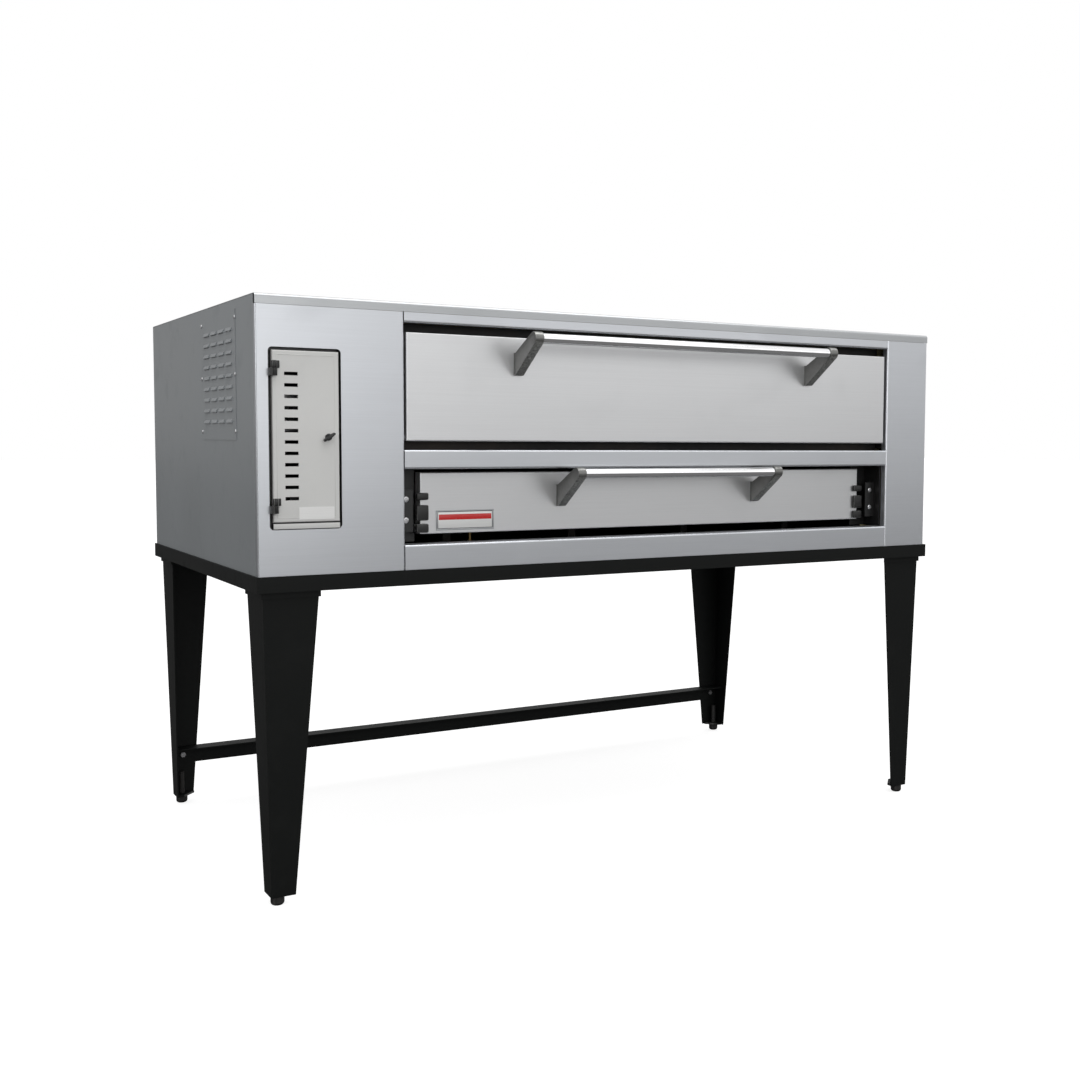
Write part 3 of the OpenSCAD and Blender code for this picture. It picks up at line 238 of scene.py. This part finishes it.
def cast(name, colour, roughness=0.5, grain=0.35, metallic=0.75):
    """Sand-cast metal: fine pits, and on the high edges a smoother worn skin with a painted
    highlight.
    """
    f = Finish(name, Metallic=metallic)
    pits = f.cells(900.0)
    lumps = f.noise(160.0, detail=5.0, roughness=0.7)
    cloud = f.noise(28.0, detail=3.0)
    # painted highlight: the high edges are made lighter in the colour, as if lit; their lower
    # roughness is the worn skin
    bright = (f.bends() * lumps).rise(0.30, 0.7)
    tone = f.mix(cloud, shade(colour, 0.78), shade(colour, 1.2))
    # painted highlight mixed into the colour on the high edges
    f.set("Base Color", f.mix(bright * 0.8, tone, shade(colour, 3.2)))
    f.set("Roughness", roughness + (lumps - 0.5) * 0.25 - bright * 0.18)
    f.bump(pits * 0.4 + lumps * 0.6, grain, 0.0006)
    return f.material


def chamber_sheet():
    """Heat-stained dark sheet, browned in clouds, with a dry rough skin."""
    f = Finish("heat_stained_sheet")
    stain = f.noise(3.4, detail=6.0, roughness=0.62, distortion=0.4)
    scale = f.noise(70.0, detail=6.0, roughness=0.75)
    soot = f.noise(9.0, detail=4.0).rise(0.45, 0.72)
    tone = f.mix(stain.rise(0.35, 0.7), (0.012, 0.012, 0.012), (0.030, 0.024, 0.020))
    f.set("Base Color", f.mix(soot * 0.7, tone, (0.006, 0.006, 0.006)))
    f.set("Metallic", 0.6 - soot * 0.5)
    f.set("Roughness", 0.55 + (scale - 0.5) * 0.3 + soot * 0.2)
    f.bump(scale, 0.25, 0.0008)
    return f.material


def hearth_stone():
    """Fired hearth slab: sandy grain and pores, toasted patches and a dusting of flour."""
    f = Finish("fired_hearth_slab", Specular_IOR_Level=0.25)
    sand = f.noise(260.0, detail=6.0, roughness=0.75)
    pores = f.cells(150.0).rise(0.05, 0.28)
    toast = f.noise(6.5, detail=5.0, distortion=0.5).rise(0.42, 0.72)
    flour = f.noise(17.0, detail=7.0, roughness=0.7).rise(0.58, 0.74)
    tone = f.mix(sand, (0.50, 0.42, 0.31), (0.66, 0.58, 0.45))
    tone = f.mix(toast * 0.6, tone, (0.27, 0.19, 0.12))
    tone = f.mix(flour * 0.35, tone, (0.84, 0.81, 0.74))
    # painted shade: the pits of the pores are darkened in the colour
    f.set("Base Color", f.mix((1 - pores) * 0.5, tone, (0.20, 0.15, 0.10)))
    f.set("Roughness", 0.82 + (sand - 0.5) * 0.2)
    f.bump(sand * 0.5 + pores * 0.5, 0.45, 0.0012)
    return f.material


def mineral_wool():
    """Matted fibres, laid in layers."""
    f = Finish("mineral_wool", Specular_IOR_Level=0.1, Sheen_Weight=0.3)
    fibres = f.noise(90.0, stretch=(1, 1, 5), detail=8.0, roughness=0.8, distortion=2.0)
    layers = f.noise(12.0, stretch=(0.4, 0.4, 6), detail=4.0)
    tone = f.mix(fibres, (0.44, 0.36, 0.16), (0.83, 0.76, 0.50))
    f.set("Base Color", f.mix(layers * 0.4, tone, (0.60, 0.50, 0.27)))
    f.set("Roughness", 0.92 + (fibres - 0.5) * 0.1)
    f.bump(fibres * 0.7 + layers * 0.3, 0.8, 0.004)
    return f.material


def brass():
    """Turned brass, gone dull and brown in places."""
    f = Finish("turned_brass", Metallic=1.0)
    rings = f.noise(300.0, stretch=(1, 6, 1), detail=2.0)
    tarnish = f.noise(55.0, detail=5.0).rise(0.4, 0.75)
    f.set("Base Color", f.mix(tarnish, (0.30, 0.21, 0.09), (0.10, 0.065, 0.030)))
    f.set("Roughness", 0.28 + tarnish * 0.3 + (rings - 0.5) * 0.1)
    f.bump(rings, 0.15, 0.0003)
    return f.material


def moulded(name, colour, roughness=0.42):
    """Moulded plastic: a spark-eroded grain, scratched on its edges."""
    f = Finish(name, Specular_IOR_Level=0.5)
    grain = f.noise(1400.0, detail=2.0)
    scratches = f.noise(60.0, stretch=(1, 1, 8), detail=5.0, roughness=0.8).rise(0.6, 0.7)
    f.set("Base Color", f.mix(scratches * 0.3, colour, tuple(c * 0.7 + 0.12 for c in colour)))
    f.set("Roughness", roughness + (grain - 0.5) * 0.2 + scratches * 0.15)
    f.bump(grain, 0.2, 0.0002)
    return f.material


LENGTHWISE = (0.35, 14.0, 60.0)  # a grain that runs along X
DEEP = (60.0, 0.35, 60.0)        # a grain that runs along Y

FINISHES = {
    "front_steel": brushed("front_steel", (0.58, 0.597, 0.625), LENGTHWISE),
    "lid_steel": brushed("lid_steel", (0.43, 0.442, 0.452), LENGTHWISE, roughness=0.34),
    # painted shade in part: the side sheet is a painted grey, set darker than the front steel to
    # copy the side facing away from the light
    "side_steel": enamel("side_sheet", (0.298, 0.318, 0.332), wear=0.3),
    "plain_steel": brushed("plain_sheet", (0.40, 0.41, 0.42), DEEP, roughness=0.45),
    "door_steel": brushed("door_steel", (0.68, 0.685, 0.693), LENGTHWISE, roughness=0.36),
    "control_door_grey": enamel("control_door_paint", (0.66, 0.66, 0.645), wear=0.2),
    "stand_black": enamel("stand_paint", (0.006, 0.0068, 0.0064), roughness=0.55, wear=0.35,
                          sheen=0.3),
    "hinge_black": enamel("hinge_paint", (0.010, 0.010, 0.010), roughness=0.42, wear=0.4),
    "latch_black": moulded("latch_plastic", (0.012, 0.012, 0.012)),
    "polished_bar": polished("polished_bar"),
    "cast_bracket": cast("bracket_casting", (0.20, 0.20, 0.193), roughness=0.40),
    "fastener_steel": cast("zinc_plate", (0.55, 0.55, 0.56), 0.3, 0.1, 0.95),
    "foot_iron": cast("foot_iron", (0.035, 0.034, 0.033), 0.6, 0.4, 0.5),
    "chamber_steel": chamber_sheet(),
    "insulation_wool": mineral_wool(),
    "hearth_stone": hearth_stone(),
    "gas_pipe_black": cast("black_iron_pipe", (0.045, 0.045, 0.047), 0.5, 0.3, 0.6),
    "jet_brass": brass(),
    "valve_aluminium": cast("die_cast_body", (0.40, 0.40, 0.41), 0.42, 0.25, 0.85),
    "knob_red": moulded("valve_knob", (0.36, 0.012, 0.010)),
    "dial_black": moulded("thermostat_dial", (0.014, 0.014, 0.015)),
    "plate_pale": brushed("rating_plate", (0.80, 0.80, 0.79), LENGTHWISE, 0.42, 0.35),
    "badge_red": moulded("badge_enamel", (0.60, 0.03, 0.03), 0.22),
}

for subpart in frame["record"]["subparts"]:
    materials = NODES[subpart["node"]].data.materials
    if not materials:
        materials.append(None)
    for index in range(len(materials)):
        materials[index] = FINISHES[subpart["material_slot"]]


# ---------------------------------------------------------------- mesh helpers

def piece(name, mesh_or_bmesh, body, slot, *replaced):
    """Makes a piece from a mesh, with a slot's finish, riding on a body."""
    if isinstance(mesh_or_bmesh, bmesh.types.BMesh):
        bmesh.ops.recalc_face_normals(mesh_or_bmesh, faces=mesh_or_bmesh.faces)
        mesh = bpy.data.meshes.new(name)
        mesh_or_bmesh.to_mesh(mesh)
        mesh_or_bmesh.free()
    else:
        mesh = mesh_or_bmesh
    made = bpy.data.objects.new(name, mesh)
    bpy.context.scene.collection.objects.link(made)
    mesh.materials.append(FINISHES[slot])
    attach(made, body)
    for node in replaced:
        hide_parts(node)
    return made


def smooth(made, angle=35):
    mesh = made.data
    mesh.shade_smooth()
    mesh.set_sharp_from_angle(angle=math.radians(angle))


def bevel(made, width, segments=3, angle=30):
    modifier = made.modifiers.new("rounded_edges", "BEVEL")
    modifier.width = width
    modifier.segments = segments
    modifier.limit_method = "ANGLE"
    modifier.angle_limit = math.radians(angle)
    modifier.harden_normals = False
    made.data.shade_smooth()


def blocks(*corners):
    """Blocks, each from its low corner to its high corner."""
    made = bmesh.new()
    for low, high in corners:
        middle = (Vector(low) + Vector(high)) / 2
        size = Matrix.Diagonal(Vector(high) - Vector(low)).to_4x4()
        bmesh.ops.create_cube(made, size=1.0, matrix=Matrix.Translation(middle) @ size)
    return made


def turned(made, start, axis, profile, sides=48, lobes=None):
    """Turns a profile about an axis. Each of its points is a distance along and a radius."""
    axis = Vector(axis).normalized()
    across = axis.orthogonal().normalized()
    other = axis.cross(across)
    rings = []
    for step, (along, radius) in enumerate(profile):
        ring = []
        for k in range(sides):
            angle = math.tau * k / sides
            r = radius * (lobes(step, angle) if lobes else 1.0)
            spoke = across * math.cos(angle) + other * math.sin(angle)
            ring.append(made.verts.new(Vector(start) + axis * along + spoke * r))
        rings.append(ring)
    for low, high in zip(rings, rings[1:]):
        for k in range(sides):
            n = (k + 1) % sides
            made.faces.new((low[k], low[n], high[n], high[k]))
    made.faces.new(rings[0][::-1])
    made.faces.new(rings[-1])
    return made


def box_of(node):
    low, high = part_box(node)
    return Vector(low), Vector(high)


CORNER = box_of("left_fascia")[0]  # the body's left front lower corner


def at(x, y, z):
    """A place given in millimetres from the body's left front lower corner."""
    return CORNER + Vector((x, y, z)) * MM


# ---------------------------------------------------------------- handle brackets

FOOT_TOP, FOOT_LOW = -30 * MM, -86 * MM  # the foot's ends, from the bar's axis
FOOT_T = 9 * MM
HEAD_R = 16 * MM
BRACKET_W = 24 * MM
WEB_EDGE, WEB_DEPTH = 6.5 * MM, 2 * MM  # the rim round the sunk web, and how far it is sunk
CAST_ROUND = 5 * MM


def touch_angle(out, up, reach, side):
    """Where a line from a point of the outline touches the head, as an angle at its centre."""
    away = math.hypot(out - reach, up)
    return math.atan2(up, out - reach) - side * math.acos(HEAD_R / away)


def bracket_outline(reach, steps=16):
    """The casting seen along the bar: out from the door, and up from the bar's axis."""
    top = touch_angle(FOOT_T, FOOT_TOP, reach, 1) % math.tau
    low = touch_angle(FOOT_T, FOOT_LOW, reach, -1) % math.tau - math.tau
    arc = [top + (low - top) * k / steps for k in range(steps + 1)]
    head = [(reach + HEAD_R * math.cos(a), HEAD_R * math.sin(a)) for a in arc]
    return [(0, FOOT_TOP), (FOOT_T, FOOT_TOP), *head, (FOOT_T, FOOT_LOW), (0, FOOT_LOW)]


def bracket(name, x, face_y, bar_y, bar_z, body, node):
    """A cast arm with a sunk web in each side."""
    made = bmesh.new()
    outline = bracket_outline(face_y - bar_y)
    sides = []
    for dx in (-BRACKET_W / 2, BRACKET_W / 2):
        sides.append([made.verts.new((x + dx, face_y - out, bar_z + up)) for out, up in outline])
    webs = [made.faces.new(sides[0]), made.faces.new(sides[1][::-1])]
    for k in range(len(outline)):
        n = (k + 1) % len(outline)
        made.faces.new((sides[0][n], sides[0][k], sides[1][k], sides[1][n]))
    bmesh.ops.recalc_face_normals(made, faces=made.faces)
    bmesh.ops.inset_individual(made, faces=webs, thickness=WEB_EDGE, depth=-WEB_DEPTH)
    casting = piece(name, made, body, "cast_bracket", node)
    bevel(casting, CAST_ROUND, segments=6)
    return casting


def handle(door, body, bar, brackets, face_y):
    """The two castings of one handle, at the ends of its bar."""
    low, high = box_of(bar)
    bar_y, bar_z = (low.y + high.y) / 2, (low.z + high.z) / 2
    first, last = box_of(brackets)
    for side, x in (("left", first.x + BRACKET_W / 2), ("right", last.x - BRACKET_W / 2)):
        bracket(f"{door}_bracket_{side}", x, face_y, bar_y, bar_z, body, brackets)


handle("bake", "bake_door", "bake_handle_bar", "bake_handle_brackets",
       box_of("bake_door_skin")[0].y)
handle("burner", "burner_door", "burner_handle_bar", "burner_handle_brackets",
       box_of("burner_door_panel")[0].y)


# ---------------------------------------------------------------- screws

SCREW_HEAD = ((0.0, 5.0), (0.9, 5.0), (1.5, 4.6), (1.95, 3.8), (2.18, 2.8), (2.1, 2.5), (0.8, 1.9))


def cross_recess(step, angle):
    """The last two rings of a screw head draw in to a cross."""
    return 1.0 if step < len(SCREW_HEAD) - 2 else 0.36 + 0.64 * abs(math.cos(2 * angle)) ** 3


def screw(made, place, axis, width=1.0):
    profile = [(a * MM, r * MM * width) for a, r in SCREW_HEAD]
    turned(made, place, axis, profile, sides=40, lobes=cross_recess)


SCREW_ROWS, SCREW_IN = 3, 20 * MM
ACCESS_LAP, ACCESS_T = 4 * MM, 1.2 * MM
LUG_SCREW_IN, LUG_SCREW_Z, LUG_FACE = 20, (116, 167), 46
LUG_SCREW_WIDTH = 1.4  # against a panel screw


def access_screws():
    """Screws down both ends of the louvred panel."""
    low, high = box_of("side_access_panel")
    skin_x = box_of("left_side_panel")[0].x - ACCESS_T
    made = bmesh.new()
    for y in (low.y + ACCESS_LAP, high.y - ACCESS_LAP):
        for row in range(SCREW_ROWS):
            z = low.z + SCREW_IN + (high.z - low.z - 2 * SCREW_IN) * row / (SCREW_ROWS - 1)
            screw(made, (skin_x, y, z), (-1, 0, 0))
    smooth(piece("access_panel_screws", made, "oven_body", "fastener_steel", "casing_screws"))


def lug_screws():
    """Two screws in the plate beside each end of the burner door."""
    plates = box_of("burner_hinge_plates")
    face = at(0, LUG_FACE, 0).y
    made = bmesh.new()
    for x in (plates[0].x + LUG_SCREW_IN * MM, plates[1].x - LUG_SCREW_IN * MM):
        for z in LUG_SCREW_Z:
            screw(made, (x, face, at(0, 0, z).z), (0, -1, 0), LUG_SCREW_WIDTH)
    smooth(piece("hinge_plate_screws", made, "oven_body", "fastener_steel", "casing_screws"))


access_screws()
lug_screws()


# ---------------------------------------------------------------- burner door's hinge lumps

LUMPS = ((4, 22), (34, 38), (84, 18))  # each one's rise over the door's lower edge, and height
LUMP_W = 32 * MM


def hinge_lumps():
    """Rounded lugs at both ends of the burner door."""
    low, high = box_of("burner_door_straps")
    door_z = box_of("burner_door_panel")[0].z
    for side, x in (("left", low.x), ("right", high.x - LUMP_W)):
        lumps = blocks(*(
            ((x, low.y, door_z + rise * MM), (x + LUMP_W, high.y, door_z + (rise + tall) * MM))
            for rise, tall in LUMPS
        ))
        made = piece(f"burner_hinge_lugs_{side}", lumps, "burner_door", "hinge_black",
                     "burner_door_straps")
        bevel(made, 4.2 * MM, segments=5)


hinge_lumps()


# ---------------------------------------------------------------- badge and plates

def frame_bars(low, high, w):
    """Four bars round an upright plate's edge."""
    (x0, y0, z0), (x1, y1, z1) = low, high
    return blocks(
        ((x0, y0, z0), (x1, y1, z0 + w)), ((x0, y0, z1 - w), (x1, y1, z1)),
        ((x0, y0, z0 + w), (x0 + w, y1, z1 - w)), ((x1 - w, y0, z0 + w), (x1, y1, z1 - w)),
    )


def badge():
    """A plain plate: a silver border, a thin dark line, a white field and one red stripe."""
    low, high = box_of("badge")
    border, line = 4 * MM, 1.2 * MM
    rim = frame_bars(low, high, border)
    bevel(piece("badge_border", rim, "burner_door", "plain_steel", "badge"), 0.5 * MM)

    def layer(name, margin, front, slot, z0=0.0, z1=1.0):
        tall = high.z - low.z - 2 * margin
        first = (low.x + margin, low.y + front, low.z + margin + tall * z0)
        last = (high.x - margin, high.y, low.z + margin + tall * z1)
        bevel(piece(name, blocks((first, last)), "burner_door", slot, "badge"), 0.15 * MM)

    layer("badge_line", border - 0.2 * MM, 1.0 * MM, "dial_black")
    layer("badge_field", border + line, 0.8 * MM, "plate_pale")
    layer("badge_stripe", border + 2.5 * line, 0.6 * MM, "badge_red", 0.52, 0.90)


badge()


def door_bead():
    """The pressed line that runs round the control door inside its edge."""
    low, high = box_of("control_door_panel")
    inset, w, proud = 9 * MM, 1.6 * MM, 0.5 * MM
    first = (low.x + inset, low.y - proud, low.z + inset)
    last = (high.x - inset, low.y + proud, high.z - inset)
    bars = frame_bars(first, last, w)
    made = piece("control_door_bead", bars, "control_door", "control_door_grey")
    bevel(made, 0.4 * MM)


door_bead()


# ---------------------------------------------------------------- control hinges, latch and knobs

STRIP_LOW, STRIP_TOP = 107, 119  # the fixed strip under the control door
KNUCKLE_R, KNUCKLE_TALL, KNUCKLE_GAP = 6.5 * MM, 16.5 * MM, 0.5 * MM
LATCH_TILT, LATCH_HALF = math.radians(-35), 15.4 * MM


def control_strip():
    """The pale face of the fixed strip under the control door."""
    low, high = box_of("control_door_panel")
    first = (low.x, at(0, -0.4, 0).y, at(0, 0, STRIP_LOW).z)
    last = (high.x, at(0, 1, 0).y, at(0, 0, STRIP_TOP).z)
    made = piece("control_strip_face", blocks((first, last)), "oven_body", "control_door_grey")
    bevel(made, 0.3 * MM)


def fixed_hinge_halves():
    """The frame's half of each hinge: a black sleeve with a rounded lower end."""
    low, high = box_of("control_hinge_knuckles")
    tall, radius = KNUCKLE_TALL, KNUCKLE_R + 0.2 * MM
    edge = 2.0 * MM
    x, y = low.x + KNUCKLE_R, low.y + KNUCKLE_R
    sleeve = ((-0.3 * MM, radius - edge), (edge * 0.3, radius - edge * 0.3), (edge, radius),
              (tall, radius), (tall + 0.2 * MM, radius - 0.6 * MM))
    made = bmesh.new()
    for z in (low.z, high.z - tall):
        turned(made, (x, y, z - 2 * KNUCKLE_GAP - tall), (0, 0, 1), sleeve, sides=36)
    smooth(piece("control_hinge_sleeves", made, "oven_body", "hinge_black"))


def control_hinges():
    """The door's half of each hinge: a barrel with rounded ends, and its leaf."""
    low, high = box_of("control_hinge_knuckles")
    radius, tall = KNUCKLE_R, KNUCKLE_TALL
    edge = 1.6 * MM
    x, y = low.x + radius, low.y + radius
    barrel = ((0, radius - edge), (edge * 0.3, radius - edge * 0.3), (edge, radius),
              (tall - edge, radius), (tall - edge * 0.3, radius - edge * 0.3), (tall, radius - edge))
    made = bmesh.new()
    for z in (low.z, high.z - tall):
        turned(made, (x, y, z), (0, 0, 1), barrel, sides=36)
    smooth(piece("control_hinge_barrels", made, "control_door", "hinge_black",
                 "control_hinge_knuckles"))
    leaves = blocks(*(
        ((x, y + radius * 0.4, z), (high.x, high.y, z + tall)) for z in (low.z, high.z - tall)
    ))
    bevel(piece("control_hinge_leaves", leaves, "control_door", "hinge_black",
                "control_hinge_knuckles"), 0.9 * MM)


def thumb_turn():
    """A round base and a slanting thumb grip, thinner towards its ends."""
    low, high = box_of("control_latch")
    x, z = (low.x + high.x) / 2, (low.z + high.z) / 2
    face = box_of("control_door_panel")[0].y
    stud_r, base_r = 4.0 * MM, 8.0 * MM
    made = turned(bmesh.new(), (x, face, z), (0, -1, 0), (
        (-7.5 * MM, stud_r), (0, stud_r), (0.0, base_r), (2.6 * MM, base_r), (4 * MM, 6.6 * MM)))
    smooth(piece("latch_base", made, "latch", "latch_black", "control_latch"))
    grip_top = low.y
    made = bmesh.new()
    rows = []
    for k in range(13):
        t = k / 6 - 1
        half = (4.0 - 1.3 * t * t) * MM
        top = grip_top + 2.6 * MM * t * t
        along = LATCH_HALF * t
        centre = Vector((x + along * math.cos(LATCH_TILT), 0, z - along * math.sin(LATCH_TILT)))
        across = Vector((math.sin(LATCH_TILT), 0, math.cos(LATCH_TILT))) * half
        root = face - 3.5 * MM
        rows.append([
            made.verts.new(centre + across * a + Vector((0, y, 0)))
            for a, y in ((-1, root), (-0.7, top), (0.7, top), (1, root))
        ])
    for first, second in zip(rows, rows[1:]):
        for k in range(4):
            n = (k + 1) % 4
            made.faces.new((first[k], first[n], second[n], second[k]))
    made.faces.new(rows[0][::-1])
    made.faces.new(rows[-1])
    bevel(piece("latch_grip", made, "latch", "latch_black", "control_latch"), 1.1 * MM)


def dial():
    """A fluted thermostat dial with a skirt and a pointer rib."""
    low, high = box_of("thermostat_dial")
    x, z = (low.x + high.x) / 2, (low.z + high.z) / 2
    skirt_r = (high.x - low.x) / 2
    grip_r, grip_h = 20 * MM, 12 * MM
    deep = high.y - low.y

    def flutes(step, angle):
        """Fluted round the grip's side, plain on the skirt and the top."""
        depth = 0.035 if step in (5, 6, 7) else 0.0
        return 1 - depth * max(0.0, math.cos(18 * angle)) ** 2

    made = turned(bmesh.new(), (x, high.y, z), (0, -1, 0), (
        (0, skirt_r - 1 * MM), (1 * MM, skirt_r), (deep - grip_h - 2 * MM, skirt_r),
        (deep - grip_h, skirt_r - 3 * MM), (deep - grip_h, grip_r + 2 * MM),
        (deep - grip_h + 2 * MM, grip_r), (deep - 5 * MM, grip_r), (deep - 1.5 * MM, grip_r * 0.97),
        (deep, grip_r * 0.88)), sides=108, lobes=flutes)
    smooth(piece("thermostat_dial_body", made, "dial", "dial_black", "thermostat_dial"), 30)
    rib = blocks((
        (x - 1.2 * MM, low.y, z + 4 * MM), (x + 1.2 * MM, low.y + 2 * MM, z + grip_r * 0.86)
    ))
    bevel(piece("thermostat_pointer", rib, "dial", "plate_pale", "thermostat_dial"), 0.4 * MM)


def valve_knob():
    """A round knob with a grip bar across it."""
    low, high = box_of("gas_valve_knob")
    x, z = (low.x + high.x) / 2, (low.z + high.z) / 2
    radius, grip = (high.x - low.x) / 2, 10 * MM
    deep = high.y - low.y
    made = turned(bmesh.new(), (x, high.y, z), (0, -1, 0), (
        (0, radius - 1 * MM), (1 * MM, radius), (deep - grip - 3 * MM, radius),
        (deep - grip, radius - 3 * MM)), sides=64)
    smooth(piece("gas_valve_knob_base", made, "valve_knob", "knob_red", "gas_valve_knob"))
    half = radius - 1 * MM
    bar = blocks(((x - grip / 2, low.y, z - half), (x + grip / 2, high.y - grip, z + half)))
    bevel(piece("gas_valve_knob_grip", bar, "valve_knob", "knob_red", "gas_valve_knob"),
          2.4 * MM, segments=4)


control_strip()
fixed_hinge_halves()
control_hinges()
thumb_turn()
dial()
valve_knob()


# ---------------------------------------------------------------- hearth slabs

def hearth(count=4, gap=1 * MM):
    """Fired slabs with soft, slightly chipped edges."""
    low, high = box_of("hearth_slabs")
    width = (high.x - low.x - (count - 1) * gap) / count
    for i in range(count):
        x0 = low.x + i * (width + gap)
        made = blocks(((x0, low.y, low.z), (x0 + width, high.y, high.z)))
        bmesh.ops.bevel(made, geom=made.edges[:], offset=3 * MM, segments=2, affect="EDGES",
                        profile=0.5)
        long_edges = [e for e in made.edges if e.calc_length() > 60 * MM]
        bmesh.ops.subdivide_edges(made, edges=long_edges, cuts=20, use_grid_fill=True)
        middle = Vector((x0 + width / 2, (low.y + high.y) / 2, (low.z + high.z) / 2))
        for v in made.verts:
            chip = max(0.0, noise.noise(v.co * 55) - 0.25) * 2.4 * MM
            v.co -= (v.co - middle).normalized() * chip
        smooth(piece(f"hearth_slab_{i + 1}", made, "oven_body", "hearth_stone", "hearth_slabs"))


hearth()


# ---------------------------------------------------------------- studio and camera

EYE = (-1.8067, -3.4309, 1.0889)
EYE_TURNS = (31.73, 3.80, 0.35)  # yaw, pitch and roll, in degrees


def camera():
    """Eye height a little over the hearth, off the front left corner."""
    yaw, pitch, roll = (math.radians(a) for a in EYE_TURNS)
    level = math.cos(pitch)
    ahead = Vector((math.sin(yaw) * level, math.cos(yaw) * level, -math.sin(pitch)))
    right = Vector((math.cos(yaw), -math.sin(yaw), 0.0))
    up = right.cross(ahead)
    level_right = right * math.cos(roll) + up * math.sin(roll)
    level_up = up * math.cos(roll) - right * math.sin(roll)
    data = bpy.data.cameras.new("camera")
    data.sensor_width = 36.0
    data.lens = 43.1
    data.shift_x = -0.0931
    data.shift_y = -0.0131
    data.clip_end = 200.0
    eye = bpy.data.objects.new("camera", data)
    turn = Matrix((level_right, level_up, -ahead)).transposed()
    eye.matrix_world = Matrix.Translation(EYE) @ turn.to_4x4()
    bpy.context.scene.collection.objects.link(eye)
    bpy.context.scene.camera = eye


def soft_light(name, place, aim, size, power, colour=(1, 1, 1)):
    data = bpy.data.lights.new(name, "AREA")
    data.shape = "RECTANGLE"
    data.size, data.size_y = size
    data.energy = power
    data.color = colour
    lamp = bpy.data.objects.new(name, data)
    lamp.location = place
    lamp.rotation_euler = (Vector(aim) - Vector(place)).to_track_quat("-Z", "Y").to_euler()
    bpy.context.scene.collection.objects.link(lamp)
    return lamp


def studio():
    """White sweep, an even room brighter to the right of the doors, and soft lights."""
    world = bpy.data.worlds.new("studio")
    bpy.context.scene.world = world
    world.use_nodes = True
    nodes, links = world.node_tree.nodes, world.node_tree.links
    background = nodes["Background"]
    seen = nodes.new("ShaderNodeLightPath")
    coords = nodes.new("ShaderNodeTexCoord")
    towards = nodes.new("ShaderNodeVectorMath")
    towards.operation = "DOT_PRODUCT"
    towards.inputs[1].default_value = (0.75, -0.55, 0.38)
    links.new(coords.outputs["Generated"], towards.inputs[0])
    room = nodes.new("ShaderNodeMapRange")
    room.inputs["From Min"].default_value = -1.0
    room.inputs["From Max"].default_value = 1.0
    room.inputs["To Min"].default_value = 0.30
    room.inputs["To Max"].default_value = 1.0
    links.new(towards.outputs["Value"], room.inputs["Value"])
    strength = nodes.new("ShaderNodeMix")
    strength.inputs["B"].default_value = 1.0
    links.new(seen.outputs["Is Camera Ray"], strength.inputs["Factor"])
    links.new(room.outputs["Result"], strength.inputs["A"])
    background.inputs["Color"].default_value = (1, 1, 1, 1)
    links.new(strength.outputs["Result"], background.inputs["Strength"])

    soft_light("overhead_light", (0.0, -0.8, 4.2), (0, 0, 0.8), (4.5, 3.5), 60)
    soft_light("front_light", (-1.0, -4.6, 1.5), (-0.2, 0, 1.0), (3.0, 2.0), 23)
    soft_light("right_light", (2.4, -4.4, 1.7), (0, 0, 1.0), (2.6, 2.2), 5.5)
    soft_light("left_light", (-4.5, -0.8, 2.2), (-1, 0, 1.0), (2.0, 2.0), 14)


def floor():
    """A white floor to the eye that throws little light back up at the oven."""
    reach = 60.0
    mesh = bpy.data.meshes.new("studio_floor")
    corners = [(-reach, -reach, 0), (reach, -reach, 0), (reach, reach, 0), (-reach, reach, 0)]
    mesh.from_pydata(corners, [], [(0, 1, 2, 3)])
    ground = bpy.data.objects.new("studio_floor", mesh)
    bpy.context.scene.collection.objects.link(ground)
    material = bpy.data.materials.new("studio_floor")
    material.use_nodes = True
    nodes, links = material.node_tree.nodes, material.node_tree.links
    nodes.clear()
    out = nodes.new("ShaderNodeOutputMaterial")
    seen = nodes.new("ShaderNodeLightPath")
    glow = nodes.new("ShaderNodeEmission")
    glow.inputs["Strength"].default_value = 0.80
    pale = nodes.new("ShaderNodeBsdfDiffuse")
    pale.inputs["Color"].default_value = (0.5, 0.5, 0.5, 1)
    lit = nodes.new("ShaderNodeAddShader")
    links.new(glow.outputs[0], lit.inputs[0])
    links.new(pale.outputs[0], lit.inputs[1])
    dull = nodes.new("ShaderNodeBsdfDiffuse")
    dull.inputs["Color"].default_value = (0.16, 0.16, 0.16, 1)
    choice = nodes.new("ShaderNodeMixShader")
    links.new(seen.outputs["Is Camera Ray"], choice.inputs[0])
    links.new(dull.outputs[0], choice.inputs[1])
    links.new(lit.outputs[0], choice.inputs[2])
    links.new(choice.outputs[0], out.inputs["Surface"])
    mesh.materials.append(material)


camera()
studio()
floor()
bpy.context.scene.view_settings.view_transform = "Standard"
